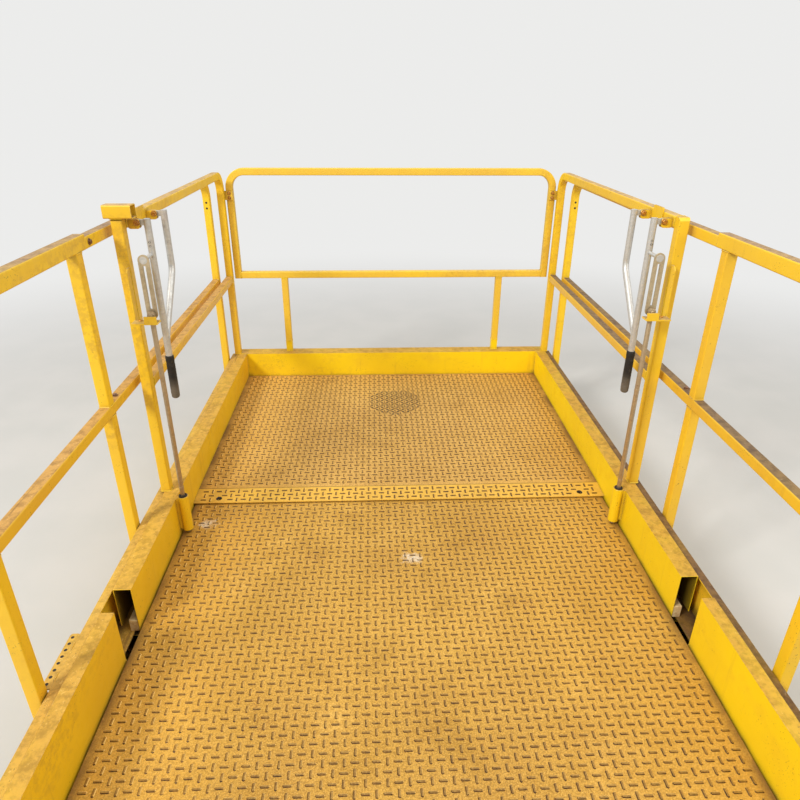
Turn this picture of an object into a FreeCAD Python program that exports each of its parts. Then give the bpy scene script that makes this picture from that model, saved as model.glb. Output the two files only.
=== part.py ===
"""Extending work platform of a scissor lift: fixed main frame, sliding extension deck, locks and gate.

Origin: middle of the scissor arms' fixed pivot, under the rear of the main frame.
+X is to the right, +Y is the way the extension slides out, +Z is up. All sizes are in millimetres.
"""
import FreeCAD, Part
import os
import re

import Sketcher
from FreeCAD import Rotation, Vector

X_AXIS, Y_AXIS, Z_AXIS = Vector(1, 0, 0), Vector(0, 1, 0), Vector(0, 0, 1)

# Driving dimensions: name, value, meaning. Heights that say "over the deck" start at deck_top.
DIMENSIONS = [
    ("inner_half", 830, "half the clear width between the toe boards"),
    ("deck_top", 215, "top of the main deck over the arm pivot"),
    ("deck_sheet", 3, "treadplate thickness"),
    ("fold_sheet", 3, "sheet of the folded toe boards"),
    ("slide_gap", 6, "running gap between extension and main frame"),
    ("fit", 0.3, "gap of a post in its pocket and a pin in its hole"),
    ("rear_overhang", 350, "main frame behind the arm pivot"),
    ("front_length", 3550, "main frame ahead of the arm pivot"),
    ("beam_sheet", 5, "sheet of the side beams and roller tracks"),
    ("beam_depth", 116, "depth of the side beams below the deck top"),
    ("lip_depth", 16, "depth of the hold-down lip below the deck top"),
    ("lip_inset", 18, "hold-down lip edge outboard of the toe board face"),
    ("strip_height", 140, "top of the side beams over the deck"),
    ("toe_height", 179, "rear toe boards over the deck"),
    ("toe_width", 38, "width of the rear toe boards"),
    ("toe_front", 1490, "front end of the main frame's side toe boards"),
    ("cross_count", 4, "number of cross members"),
    ("cross_end_inset", 250, "last cross member behind the main frame's front end"),
    ("cross_width", 100, "cross member width"),
    ("cross_height", 60, "cross member height"),
    ("track_inboard", 430, "open side of the roller tracks from the middle"),
    ("track_width", 45, "roller track width"),
    ("track_height", 90, "roller track height"),
    ("track_rear", 900, "rear end of the roller tracks"),
    ("track_end_inset", 200, "roller tracks behind the main frame's front end"),
    ("pivot_radius", 20, "arm pivot bore"),
    ("pivot_boss", 45, "arm pivot boss"),
    ("rail_tube", 35, "square tube of the guard rails"),
    ("rail_wall", 3, "wall of the square tubes"),
    ("rail_top", 1108, "main top rail over the deck"),
    ("rail_cap", 9, "strip on top of the main top rail's rear length"),
    ("mid_top", 600, "mid rails over the deck"),
    ("corner_radius", 80, "bend of the rails on the tube's centre line"),
    ("guard_gap", 23, "main guard rails outboard of the extension's rails"),
    ("pocket_depth", 95, "post foot below the deck top"),
    ("pocket_top", 40, "top of the post pockets over the deck"),
    ("near_post_distance", 1940, "post behind the lock levers"),
    ("second_post_distance", 1255, "second post"),
    ("front_upright_inset", 85, "front upright of the main guard behind the front end"),
    ("splice_offset", 50, "bolted joint of the top rail ahead of the post behind the levers"),
    ("splice_length", 120, "sleeve inside the bolted joint"),
    ("gate_post_inner", 350, "gate posts from the middle"),
    ("gate_gap", 8, "gap between gate and gate posts"),
    ("gate_tube", 30, "square tube of the gate"),
    ("rear_toe_height", 150, "rear toe plates over the deck"),
    ("hinge_out", 10, "gate hinge axis outboard of the post face"),
    ("hinge_gap", 1, "gap between hinge knuckle and post"),
    ("hinge_wall", 5, "wall of the hinge knuckle"),
    ("low_hinge_height", 300, "lower gate hinge over the deck"),
    ("high_hinge_height", 850, "upper gate hinge over the deck"),
    ("knuckle_height", 40, "gate hinge knuckle"),
    ("hinge_pin", 6, "gate hinge pin radius"),
    ("stop_reach", 24, "gate stop inboard of the gate post"),
    ("channel_setback", 120, "extension's side channels ahead of the fixed toe boards"),
    ("channel_height", 152, "extension toe boards over the main deck"),
    ("channel_width", 55, "extension side channel width"),
    ("skirt_gap", 8, "outer leg of the side channels over the deck"),
    ("runner_width", 50, "slide runner width"),
    ("runner_gap", 10, "slide runner over the beam's floor and under its lip"),
    ("runner_setback", 50, "slide runners behind the main frame's front end"),
    ("block_length", 48, "wear block"),
    ("block_width", 27, "wear block across the channel"),
    ("block_gap", 2, "wear block inside the channel's end"),
    ("block_top", 28, "wear block over the deck"),
    ("pad_length", 80, "front slide pad"),
    ("ext_rise", 15, "top of the extension deck over the main deck"),
    ("deck_setback", 125, "rear edge of the extension deck ahead of the lever posts' rear face"),
    ("lip_length", 93, "sloping rear lip of the extension deck"),
    ("lip_drop", 6, "drop of the rear lip"),
    ("board_setback", 40, "front toe board behind the main frame's front end"),
    ("board_depth", 80, "width of the front toe board's top"),
    ("apron_depth", 60, "front apron below the deck top"),
    ("lever_post_rear", 2128, "rear face of the lever posts"),
    ("head_chamfer", 10, "chamfer of the lever posts' heads"),
    ("cap_height", 40, "box tube on the left lever post"),
    ("cap_reach", 34, "box tube inboard of the lever post"),
    ("cap_overhang", 5, "box tube past the lever post's front and rear"),
    ("ext_rail_inset", 32, "extension's side rails outboard of the toe board face"),
    ("ext_rail_top", 1135, "extension top rail over the deck"),
    ("loop_gap", 4, "front guard loop inside the extension's rails"),
    ("loop_setback", 42, "front guard loop ahead of the front toe board's face"),
    ("loop_rise", 10, "front guard loop over the extension's top rails"),
    ("loop_low", 577, "underside of the loop's lower rail over the deck"),
    ("tab_height", 45, "tabs that join the loop to the extension's rails"),
    ("tab_drop", 110, "tabs below the top of the loop"),
    ("front_post_inset", 238, "front guard posts inboard of the toe board face"),
    ("foot_height", 60, "feet of the front guard posts"),
    ("lever_gap", 22, "straight lever tube's middle ahead of the lever posts"),
    ("bent_spacing", 172, "bent lever tube ahead of the straight one at the hinge"),
    ("hinge_drop", 20, "lever hinge below the top of the extension's rails"),
    ("lever_radius", 11, "lever tube radius"),
    ("handle_length", 600, "lever below its hinge"),
    ("kink_depth", 190, "bend of the bent tube below the hinge"),
    ("merge_depth", 385, "meeting point of the tubes below the hinge"),
    ("lever_bolt", 5, "lever hinge bolt radius"),
    ("bolt_head", 8, "bolt head across its corners, halved"),
    ("hinge_offset", 30, "lever hinge outboard of the lever tubes"),
    ("ear_sheet", 8, "thickness of the ears on the lever tubes"),
    ("ear_half", 9, "half the height of the ears between tube and eye"),
    ("lug_sheet", 5, "lever lug thickness"),
    ("lug_low", 19, "lever lugs below the hinge"),
    ("lug_high", 11, "lever lugs above the hinge"),
    ("lug_gap", 0.5, "gap between lever and lug"),
    ("plate_ahead", 64, "stiffening plate ahead of the straight lever tube"),
    ("plate_length", 74, "stiffening plate between the lever hinges"),
    ("plate_rise", 13, "stiffening plate over the extension's top rail"),
    ("grip_length", 160, "grip"),
    ("grip_radius", 14.5, "grip radius"),
    ("grip_end", 6, "closed end of the grip"),
    ("link_arm", 99, "link pin below the lever hinge"),
    ("link_length", 171, "link between its pins"),
    ("link_width", 34, "link width"),
    ("link_slot", 8, "slot in the link"),
    ("link_sheet", 6, "link thickness"),
    ("link_pin", 6, "link pin radius"),
    ("pin_stand", 3, "link pin past the link"),
    ("rod_setback", 43, "lock rod behind the lever posts"),
    ("rod_radius", 8, "lock rod radius"),
    ("rod_tip", 2, "lock rod tip over the main deck"),
    ("lock_hole_gap", 1, "lock hole around the lock rod"),
    ("socket_radius", 25, "lock socket radius"),
    ("socket_top", 175, "top of the lock sockets over the main deck"),
    ("socket_pad", 28, "width of the lock socket's pad on the channel"),
    ("guide_drop", 27, "lock rod guide below the link's lower pin"),
    ("guide_half", 20, "half the width of the lock rod guide"),
    ("guide_lip", 27, "front lip of the lock rod guide"),
    ("fin_depth", 30, "guide's fin behind the lever post"),
    ("fin_drop", 10, "guide's fin below the guide"),
    ("fin_height", 170, "guide's fin above the guide"),
    ("fin_chamfer", 12, "chamfers of the guide's fin"),
    ("stroke_length", 1150, "stroke of the extension"),
    ("corner_hole", 9, "radius of the extension deck's drain holes"),
    ("hole_inset", 95, "extension deck holes inboard of the toe board face"),
    ("hole_setback", 27, "extension deck holes ahead of the deck's rear edge"),
]
NAMES = {name for name, value, meaning in DIMENSIONS}

doc = FreeCAD.newDocument("work_platform")
sheet = doc.addObject("Spreadsheet::Sheet", "Sizes")
for row, (name, value, meaning) in enumerate(DIMENSIONS, 1):
    sheet.set(f"A{row}", meaning)
    sheet.set(f"B{row}", str(value))
    sheet.setAlias(f"B{row}", name)
doc.recompute()

nodes = []


def formula(text):
    """The text with each size's name pointing into the spreadsheet."""
    return re.sub(r"[a-z_]+", lambda found: "Sizes." + found[0] if found[0] in NAMES else found[0], str(text))


def value_of(text):
    """The present value of a formula, for a shape's first estimate."""
    return float(sheet.evalExpression(formula(text)))


def bind(item, **formulas):
    """Bind properties; Base_x stands for Placement.Base.x."""
    for name, text in formulas.items():
        item.setExpression(name.replace("Base_", "Placement.Base."), formula(text))


def node(item, label):
    """Make an object one of the parts that are written out."""
    item.Label = label
    nodes.append(item)
    return item


def box(name, x, y, z):
    """A block between low and high faces along each axis."""
    item = doc.addObject("Part::Box", name)
    bind(item, Base_x=x[0], Base_y=y[0], Base_z=z[0])
    for prop, (low, high) in (("Length", x), ("Width", y), ("Height", z)):
        bind(item, **{prop: f"({high}) - ({low})"})
    return item


def cylinder(name, axis, start, length, radius):
    """A cylinder from a start point along an axis."""
    item = doc.addObject("Part::Cylinder", name)
    item.Placement.Rotation = Rotation(Z_AXIS, axis)
    bind(item, Base_x=start[0], Base_y=start[1], Base_z=start[2], Height=length, Radius=radius)
    return item


def cut(name, base, tool):
    item = doc.addObject("Part::Cut", name)
    item.Base, item.Tool = base, tool
    return item


def fuse(name, shapes):
    item = doc.addObject("Part::MultiFuse", name)
    item.Shapes = shapes
    return item


def mirror(name, source):
    """The left-hand copy of a right-hand piece."""
    item = doc.addObject("Part::Mirroring", name)
    item.Source, item.Normal = source, X_AXIS
    return item


def both_sides(label, right):
    """Write a right-hand piece and its left-hand mirror image."""
    node(right, label + "_right")
    node(mirror(label + "_mirror", right), label + "_left")


def square_tube(name, x, y, z, along, wall="rail_wall"):
    """A straight square tube, open at both ends along one axis."""
    spans = {"x": x, "y": y, "z": z}
    inner = {key: (f"({low}) + {wall}", f"({high}) - {wall}") for key, (low, high) in spans.items()}
    inner[along] = spans[along]
    return cut(name, box(name + "_outer", x, y, z), box(name + "_bore", *inner.values()))


def new_body(name):
    return doc.addObject("PartDesign::Body", name)


def new_sketch(body, name, role):
    """A sketch on one of the body's own origin planes."""
    sketch = body.newObject("Sketcher::SketchObject", name)
    plane = next(item for item in body.Origin.OriginFeatures if item.Role == role)
    sketch.AttachmentSupport = [(plane, "")]
    sketch.MapMode = "FlatFace"
    return sketch


def place_point(sketch, geometry, end, point):
    """Hold one end of a sketch line at two formulas."""
    for kind, text in zip(("DistanceX", "DistanceY"), point):
        index = sketch.addConstraint(Sketcher.Constraint(kind, -1, 1, geometry, end, value_of(text)))
        name = f"{kind}_{geometry}_{end}"
        sketch.renameConstraint(index, name)
        sketch.setExpression("Constraints." + name, formula(text))


def spot(point):
    return Vector(value_of(point[0]), value_of(point[1]), 0)


def outline(sketch, points):
    """A closed outline of straight lines through formula points."""
    first = sketch.GeometryCount
    for number, point in enumerate(points):
        after = points[(number + 1) % len(points)]
        sketch.addGeometry(Part.LineSegment(spot(point), spot(after)))
    for number, point in enumerate(points):
        after = first + (number + 1) % len(points)
        sketch.addConstraint(Sketcher.Constraint("Coincident", first + number, 2, after, 1))
        place_point(sketch, first + number, 1, point)


def square(sketch, centre, size):
    """A square outline about a centre."""
    corners = [(-1, -1), (1, -1), (1, 1), (-1, 1)]
    outline(sketch, [(f"({centre[0]}) + {a} * ({size}) / 2", f"({centre[1]}) + {b} * ({size}) / 2")
                     for a, b in corners])


def rounded_path(sketch, corners, radius):
    """A path of level and upright runs whose inner corners are arcs; returns its edges."""
    runs = []
    for number in range(len(corners) - 1):
        ends = [corners[number], corners[number + 1]]
        way = spot(ends[1]) - spot(ends[0])
        way.normalize()
        for end, sign, rounded in ((0, 1, number > 0), (1, -1, number + 2 < len(corners))):
            if rounded:
                ends[end] = tuple(f"({text}) + ({sign * round(step)}) * {radius}"
                                  for text, step in zip(ends[end], (way.x, way.y)))
        runs.append((ends, way))
    for ends, way in runs:
        line = sketch.addGeometry(Part.LineSegment(spot(ends[0]), spot(ends[1])))
        place_point(sketch, line, 1, ends[0])
        place_point(sketch, line, 2, ends[1])
    for number, (before, after) in enumerate(zip(runs, runs[1:])):
        start, end = spot(before[0][1]), spot(after[0][0])
        centre = start + after[1] * value_of(radius)
        middle = centre - (after[1] - before[1]).normalize() * value_of(radius)
        arc = sketch.addGeometry(Part.Arc(start, middle, end))
        turns_left = before[1].cross(after[1]).z > 0
        first, last = (1, 2) if turns_left else (2, 1)
        sketch.addConstraint(Sketcher.Constraint("Tangent", number, 2, arc, first))
        sketch.addConstraint(Sketcher.Constraint("Coincident", number + 1, 1, arc, last))
    return [f"Edge{index + 1}" for index in range(sketch.GeometryCount)]


def bent_tube(name, role, corners, radius="corner_radius"):
    """A hollow square tube along a path in an upright plane, whose first run is upright."""
    body = new_body(name)
    spine = new_sketch(body, name + "_path", role)
    edges = rounded_path(spine, corners, radius)
    section = new_sketch(body, name + "_section", "XY_Plane")
    across = corners[0][0]
    centre = ("0", across) if role == "YZ_Plane" else (across, "0")
    square(section, centre, "rail_tube")
    square(section, centre, "rail_tube - 2 * rail_wall")
    section.setExpression("AttachmentOffset.Base.z", formula(corners[0][1]))
    pipe = body.newObject("PartDesign::AdditivePipe", name + "_pipe")
    pipe.Profile, pipe.Spine = section, (spine, edges)
    return body


def pad_along_y(name, points, y):
    """A section in the XZ plane padded between two Y values."""
    body = new_body(name)
    sketch = new_sketch(body, name + "_section", "XZ_Plane")
    outline(sketch, points)
    pad = body.newObject("PartDesign::Pad", name + "_pad")
    pad.Profile, pad.Reversed = sketch, True
    bind(pad, Length=f"({y[1]}) - ({y[0]})")
    bind(body, Base_y=y[0])
    return body


def pad_across(name, points, width):
    """A section in the YZ plane padded to both sides of the middle."""
    body = new_body(name)
    sketch = new_sketch(body, name + "_section", "YZ_Plane")
    outline(sketch, points)
    pad = body.newObject("PartDesign::Pad", name + "_pad")
    pad.Profile, pad.Midplane = sketch, True
    bind(pad, Length=width)
    return body


# Values shared by several pieces, written as formulas of the driving dimensions.
MAIN_REAR = "-rear_overhang"
DECK_UNDER = "deck_top - deck_sheet"
DECK_EDGE = "inner_half - slide_gap"
WEB_INNER = "inner_half - slide_gap - beam_sheet"
EXT_GUARD_INNER = "inner_half + ext_rail_inset"
EXT_GUARD_X = (EXT_GUARD_INNER, f"{EXT_GUARD_INNER} + rail_tube")
GUARD_INNER = f"{EXT_GUARD_INNER} + rail_tube + guard_gap"
GUARD_OUTER = f"{GUARD_INNER} + rail_tube"
GUARD_X = (GUARD_INNER, GUARD_OUTER)
GUARD_MIDDLE = f"{GUARD_INNER} + rail_tube / 2"
WALL_OUTER = f"{GUARD_INNER} - rail_wall"
STRIP_INNER = "inner_half + channel_width + slide_gap"
BEAM_FLOOR = "deck_top - beam_depth + beam_sheet"
LIP_TOP = "deck_top - lip_depth"
TOP_RAIL_MIDDLE = "deck_top + rail_top - rail_tube / 2"
TOP_RAIL_UNDER = "deck_top + rail_top - rail_tube"
MID_Z = ("deck_top + mid_top - rail_tube", "deck_top + mid_top")
FOOT = "deck_top - pocket_depth"
REAR_UPRIGHT = f"{MAIN_REAR} + rail_tube / 2"
REAR_FACE = f"{MAIN_REAR} + rail_tube"
REAR_Y = (MAIN_REAR, REAR_FACE)
FRONT_UPRIGHT = "front_length - front_upright_inset"
SPLICE = "near_post_distance + splice_offset"
GATE_HINGE = ("gate_post_inner + hinge_out", f"{REAR_FACE} + hinge_pin + hinge_wall + hinge_gap")
GATE_HINGE_HEIGHTS = ("low_hinge_height", "high_hinge_height")
CROSS_UNDER = "deck_top - deck_sheet - cross_height"
CHANNEL_REAR = "toe_front + channel_setback"
CHANNEL_FACE = "inner_half + fold_sheet"
CHANNEL_OUTER = "inner_half + channel_width"
CHANNEL_TOP = "deck_top + channel_height"
RUNNER_X = (CHANNEL_FACE, f"{CHANNEL_FACE} + runner_width")
RUNNER_LOW = f"{BEAM_FLOOR} + runner_gap"
RUNNER_TOP = f"{LIP_TOP} - beam_sheet - runner_gap"
RUNNER_FRONT = "front_length - runner_setback"
BOARD_INNER = "front_length - board_setback"
BOARD_FRONT = f"{BOARD_INNER} + board_depth"
EXT_REAR = "lever_post_rear + deck_setback"
EXT_GUARD_MIDDLE = f"{EXT_GUARD_INNER} + rail_tube / 2"
EXT_TOP = "deck_top + ext_rail_top"
EXT_TOP_UNDER = "deck_top + ext_rail_top - rail_tube"
LEVER_POST_FRONT = "lever_post_rear + rail_tube"
LOOP_OUTER = f"{EXT_GUARD_INNER} - loop_gap"
LOOP_TOP = "deck_top + ext_rail_top + loop_rise"
LOOP_Y = (f"{BOARD_INNER} + loop_setback", f"{BOARD_INNER} + loop_setback + rail_tube")
FRONT_POST = "(inner_half - front_post_inset)"
LEVER_X = "(inner_half - socket_radius)"
LEVER_Y = f"({LEVER_POST_FRONT} + lever_gap)"
BENT_Y = f"({LEVER_POST_FRONT} + lever_gap + bent_spacing)"
PIVOT_X = "(inner_half - socket_radius + hinge_offset)"
LEVER_HINGE = "(deck_top + ext_rail_top - hinge_drop)"
LINK_TOP = f"{LEVER_HINGE} - link_arm"
LINK_FOOT = f"{LINK_TOP} - link_length"
ROD_Y = "(lever_post_rear - rod_setback)"
LINK_REAR = f"{ROD_Y} + rod_radius + fit"


def y_about(middle, size="rail_tube"):
    return (f"({middle}) - ({size}) / 2", f"({middle}) + ({size}) / 2")


def main_deck():
    """Treadplate over the whole main frame, with the lock holes for both end positions."""
    plate = box("deck_plate", (f"-({DECK_EDGE})", DECK_EDGE), (MAIN_REAR, "front_length"),
                (DECK_UNDER, "deck_top"))
    holes = []
    for side in (1, -1):
        for number, y in enumerate((ROD_Y, f"{ROD_Y} + stroke_length")):
            start = (f"{side} * {LEVER_X}", y, f"{DECK_UNDER} - deck_sheet")
            holes.append(cylinder(f"lock_hole_{number}", Z_AXIS, start, "3 * deck_sheet",
                                  "rod_radius + lock_hole_gap"))
    return node(cut("main_deck", plate, fuse("lock_holes", holes)), "main_deck")


def side_beam():
    """Folded side beam: web, floor, outer wall, hold-down lip and top strip, with the post pockets."""
    beam_bottom = "deck_top - beam_depth"
    wall_inner = f"{WALL_OUTER} - beam_sheet"
    strip_top = "deck_top + strip_height"
    strip_under = "deck_top + strip_height - beam_sheet"
    lip_under = f"{LIP_TOP} - beam_sheet"
    lip_edge = "inner_half + lip_inset"
    profile = [(WEB_INNER, beam_bottom), (WALL_OUTER, beam_bottom), (WALL_OUTER, strip_top),
               (STRIP_INNER, strip_top), (STRIP_INNER, strip_under), (wall_inner, strip_under),
               (wall_inner, LIP_TOP), (lip_edge, LIP_TOP), (lip_edge, lip_under), (wall_inner, lip_under),
               (wall_inner, BEAM_FLOOR), (DECK_EDGE, BEAM_FLOOR), (DECK_EDGE, DECK_UNDER),
               (WEB_INNER, DECK_UNDER)]
    pieces = [pad_along_y("beam_section", profile, (MAIN_REAR, "front_length"))]
    posts = (REAR_UPRIGHT, "second_post_distance", "near_post_distance", FRONT_UPRIGHT)
    for number, middle in enumerate(posts):
        outer = box(f"pocket_outer_{number}", (WALL_OUTER, f"{GUARD_OUTER} + fit + rail_wall"),
                    y_about(middle, "rail_tube + 2 * fit + 2 * rail_wall"),
                    (f"{FOOT} - rail_wall", "deck_top + pocket_top"))
        bore = box(f"pocket_bore_{number}", (f"{GUARD_INNER} - fit", f"{GUARD_OUTER} + fit"),
                   y_about(middle, "rail_tube + 2 * fit"), (FOOT, "deck_top + pocket_top"))
        pieces.append(cut(f"pocket_{number}", outer, bore))
    both_sides("side_beam", fuse("side_beam", pieces))


def side_toe_board():
    """Closed box toe board on the rear part of each side beam."""
    board = square_tube("side_toe_board", ("inner_half", "inner_half + toe_width"),
                        (MAIN_REAR, "toe_front"), (LIP_TOP, "deck_top + toe_height"), "y", "fold_sheet")
    both_sides("side_toe_board", board)


def cross_members():
    """Square tubes across the frame, evenly spaced from the arm pivot to near the front end."""
    for number in range(round(value_of("cross_count"))):
        middle = f"{number} * (front_length - cross_end_inset) / (cross_count - 1)"
        member = square_tube(f"cross_member_{number + 1}", (f"-({WEB_INNER})", WEB_INNER),
                             y_about(middle, "cross_width"), (CROSS_UNDER, DECK_UNDER), "x")
        node(member, f"cross_member_{number + 1}")


def roller_track():
    """Channel open to the middle, in which the scissor arms' rollers run."""
    outer, low = "track_inboard + track_width", f"{CROSS_UNDER} - track_height"
    profile = [("track_inboard", low), (outer, low), (outer, CROSS_UNDER), ("track_inboard", CROSS_UNDER),
               ("track_inboard", f"{CROSS_UNDER} - beam_sheet"),
               (f"{outer} - beam_sheet", f"{CROSS_UNDER} - beam_sheet"),
               (f"{outer} - beam_sheet", f"{low} + beam_sheet"), ("track_inboard", f"{low} + beam_sheet")]
    track = pad_along_y("roller_track", profile, ("track_rear", "front_length - track_end_inset"))
    both_sides("roller_track", track)


def pivot_bracket():
    """Lug with the bore of the scissor arms' fixed pivot."""
    start = ("track_inboard", "0", "0")
    boss = cylinder("pivot_round", X_AXIS, start, "track_width", "pivot_boss")
    web = box("pivot_web", ("track_inboard", "track_inboard + track_width"), ("-pivot_boss", "pivot_boss"),
              ("0", CROSS_UNDER))
    bore = cylinder("pivot_bore", X_AXIS, start, "track_width", "pivot_radius")
    both_sides("pivot_bracket", cut("pivot_bracket", fuse("pivot_blank", [boss, web]), bore))


def main_guard():
    """Side guard rails: top rail in two lengths with bent ends, posts and mid rails."""
    front = bent_tube("top_rail_front", "YZ_Plane", [(FRONT_UPRIGHT, FOOT), (FRONT_UPRIGHT, TOP_RAIL_MIDDLE),
                                                     (SPLICE, TOP_RAIL_MIDDLE)])
    bind(front, Base_x=GUARD_MIDDLE)
    inside = "rail_wall + fit"
    sleeve = square_tube("splice_sleeve", (f"{GUARD_INNER} + {inside}", f"{GUARD_OUTER} - ({inside})"),
                         y_about(SPLICE, "splice_length"),
                         (f"{TOP_RAIL_UNDER} + {inside}", f"deck_top + rail_top - ({inside})"), "y")
    foot = square_tube("sleeve_weld", GUARD_X, (SPLICE, f"{SPLICE} + rail_wall"),
                       (TOP_RAIL_UNDER, "deck_top + rail_top"), "y", "rail_wall + fit")
    both_sides("top_rail_front", fuse("top_rail_spliced", [front, sleeve, foot]))
    rear = bent_tube("top_rail_rear", "YZ_Plane", [(REAR_UPRIGHT, FOOT), (REAR_UPRIGHT, TOP_RAIL_MIDDLE),
                                                   (SPLICE, TOP_RAIL_MIDDLE)])
    bind(rear, Base_x=GUARD_MIDDLE)
    strip = box("rail_cap", GUARD_X, (f"{REAR_UPRIGHT} + corner_radius", SPLICE),
                ("deck_top + rail_top", "deck_top + rail_top + rail_cap"))
    both_sides("top_rail_rear", fuse("top_rail_capped", [rear, strip]))
    for label, middle in (("near", "near_post_distance"), ("second", "second_post_distance")):
        post = square_tube("post_" + label, GUARD_X, y_about(middle), (FOOT, TOP_RAIL_UNDER), "z")
        both_sides("post_" + label, post)
    half = "rail_tube / 2"
    spans = (("front", f"near_post_distance + {half}", f"{FRONT_UPRIGHT} - {half}"),
             ("middle", f"second_post_distance + {half}", f"near_post_distance - {half}"),
             ("rear", f"{REAR_UPRIGHT} + {half}", f"second_post_distance - {half}"))
    for label, low, high in spans:
        both_sides("mid_rail_" + label, square_tube("mid_rail_" + label, GUARD_X, (low, high), MID_Z, "y"))


def rear_guard_half():
    """Gate post, short rails and toe plate beside the entry, for the right side."""
    post_outer = "gate_post_inner + rail_tube"
    post = square_tube("gate_post", ("gate_post_inner", post_outer), REAR_Y,
                       ("deck_top", TOP_RAIL_UNDER), "z")
    top = square_tube("rear_top", ("gate_post_inner", GUARD_INNER), REAR_Y,
                      (TOP_RAIL_UNDER, "deck_top + rail_top"), "x")
    mid = square_tube("rear_mid", (post_outer, GUARD_INNER), REAR_Y, MID_Z, "x")
    toe = box("rear_toe", (post_outer, "inner_half"), (MAIN_REAR, f"{MAIN_REAR} + fold_sheet"),
              ("deck_top", "deck_top + rear_toe_height"))
    return [post, top, mid, toe]


def rear_guards():
    """Right half with the gate's hinge lugs and pins, left half with the gate's stop."""
    hinges = []
    for number, height in enumerate(GATE_HINGE_HEIGHTS):
        under, over = f"deck_top + {height} - fit", f"deck_top + {height} + knuckle_height + fit"
        for name, low in (("under", f"{under} - lug_sheet"), ("over", over)):
            hinges.append(box(f"hinge_lug_{name}_{number}",
                              ("gate_post_inner", "gate_post_inner + rail_tube"),
                              (REAR_FACE, f"{GATE_HINGE[1]} + hinge_pin + hinge_wall"),
                              (low, f"{low} + lug_sheet")))
        hinges.append(cylinder(f"hinge_pin_{number}", Z_AXIS, (*GATE_HINGE, under),
                               "knuckle_height + 2 * fit", "hinge_pin"))
    node(fuse("rear_guard_hinged", rear_guard_half() + hinges), "rear_guard_right")
    stop = box("gate_stop", ("gate_post_inner - stop_reach", "gate_post_inner + rail_tube"),
               (f"{MAIN_REAR} - beam_sheet", MAIN_REAR),
               ("deck_top + high_hinge_height", "deck_top + high_hinge_height + 2 * knuckle_height"))
    plain = fuse("rear_guard_plain", rear_guard_half() + [stop])
    node(mirror("rear_guard_mirror", plain), "rear_guard_left")


def gate():
    """Entry gate that swings inward on two knuckles at its right-hand edge."""
    edge = "gate_post_inner - gate_gap"
    inner = f"{edge} - gate_tube"
    depth = (f"{REAR_FACE} - gate_tube", REAR_FACE)
    low, high = "deck_top + ext_rise", "deck_top + rail_top"
    pieces = []
    for name, x in (("right", (inner, edge)), ("left", (f"-({edge})", f"-({inner})"))):
        pieces.append(square_tube("gate_stile_" + name, x, depth, (low, high), "z"))
    across = (f"-({inner})", inner)
    for name, top in (("top", high), ("mid", "deck_top + mid_top")):
        pieces.append(square_tube("gate_rail_" + name, across, depth, (f"{top} - gate_tube", top), "x"))
    pieces.append(box("gate_toe", across, (depth[0], f"{depth[0]} + fold_sheet"),
                      (low, "deck_top + rear_toe_height")))
    for number, height in enumerate(GATE_HINGE_HEIGHTS):
        low_face = f"deck_top + {height}"
        span = (low_face, f"{low_face} + knuckle_height")
        arm = box(f"gate_arm_{number}", (inner, GATE_HINGE[0]), (REAR_FACE, GATE_HINGE[1]), span)
        relief = box(f"gate_relief_{number}", (edge, GATE_HINGE[0]), (REAR_FACE, f"{REAR_FACE} + hinge_gap"),
                     span)
        start = (*GATE_HINGE, low_face)
        barrel = cylinder(f"gate_barrel_{number}", Z_AXIS, start, "knuckle_height", "hinge_pin + hinge_wall")
        bore = cylinder(f"gate_bore_{number}", Z_AXIS, start, "knuckle_height", "hinge_pin + fit")
        solid = fuse(f"gate_knuckle_{number}", [cut(f"gate_arm_cut_{number}", arm, relief), barrel])
        pieces.append(cut(f"gate_hinge_{number}", solid, bore))
    node(fuse("gate", pieces), "gate")


def extension_deck():
    """Treadplate with a sloping rear lip and a hole near each rear corner."""
    top, under = "deck_top + ext_rise", "deck_top + ext_rise - deck_sheet"
    bend = f"{EXT_REAR} + lip_length"
    front = f"{BOARD_FRONT} - fold_sheet"
    plate = pad_across("extension_plate",
                       [(EXT_REAR, f"{under} - lip_drop"), (bend, under), (front, under), (front, top),
                        (bend, top), (EXT_REAR, f"{top} - lip_drop")], "2 * inner_half")
    holes = [cylinder("corner_hole", Z_AXIS,
                      (f"{side} * (inner_half - hole_inset)", f"{EXT_REAR} + hole_setback", "deck_top"),
                      "2 * ext_rise", "corner_hole") for side in (1, -1)]
    node(cut("extension_deck", plate, fuse("corner_holes", holes)), "extension_deck")


def extension_side():
    """Folded side channel whose inner leg carries the slide runner in the side beam."""
    skirt = f"{CHANNEL_OUTER} - fold_sheet"
    skirt_low = "deck_top + skirt_gap"
    profile = [("inner_half", RUNNER_LOW), (CHANNEL_FACE, RUNNER_LOW),
               (CHANNEL_FACE, f"{CHANNEL_TOP} - fold_sheet"), (skirt, f"{CHANNEL_TOP} - fold_sheet"),
               (skirt, skirt_low), (CHANNEL_OUTER, skirt_low), (CHANNEL_OUTER, CHANNEL_TOP),
               ("inner_half", CHANNEL_TOP)]
    channel = pad_along_y("channel_section", profile, (CHANNEL_REAR, BOARD_FRONT))
    runner = square_tube("slide_runner", RUNNER_X, (CHANNEL_REAR, RUNNER_FRONT), (RUNNER_LOW, RUNNER_TOP),
                         "y", "fold_sheet")
    both_sides("extension_channel", fuse("extension_channel", [channel, runner]))
    block = box("wear_block", (CHANNEL_FACE, f"{CHANNEL_FACE} + block_width"),
                (f"{CHANNEL_REAR} + block_gap", f"{CHANNEL_REAR} + block_gap + block_length"),
                (f"{LIP_TOP} + fit", "deck_top + block_top"))
    both_sides("wear_block", block)


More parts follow.
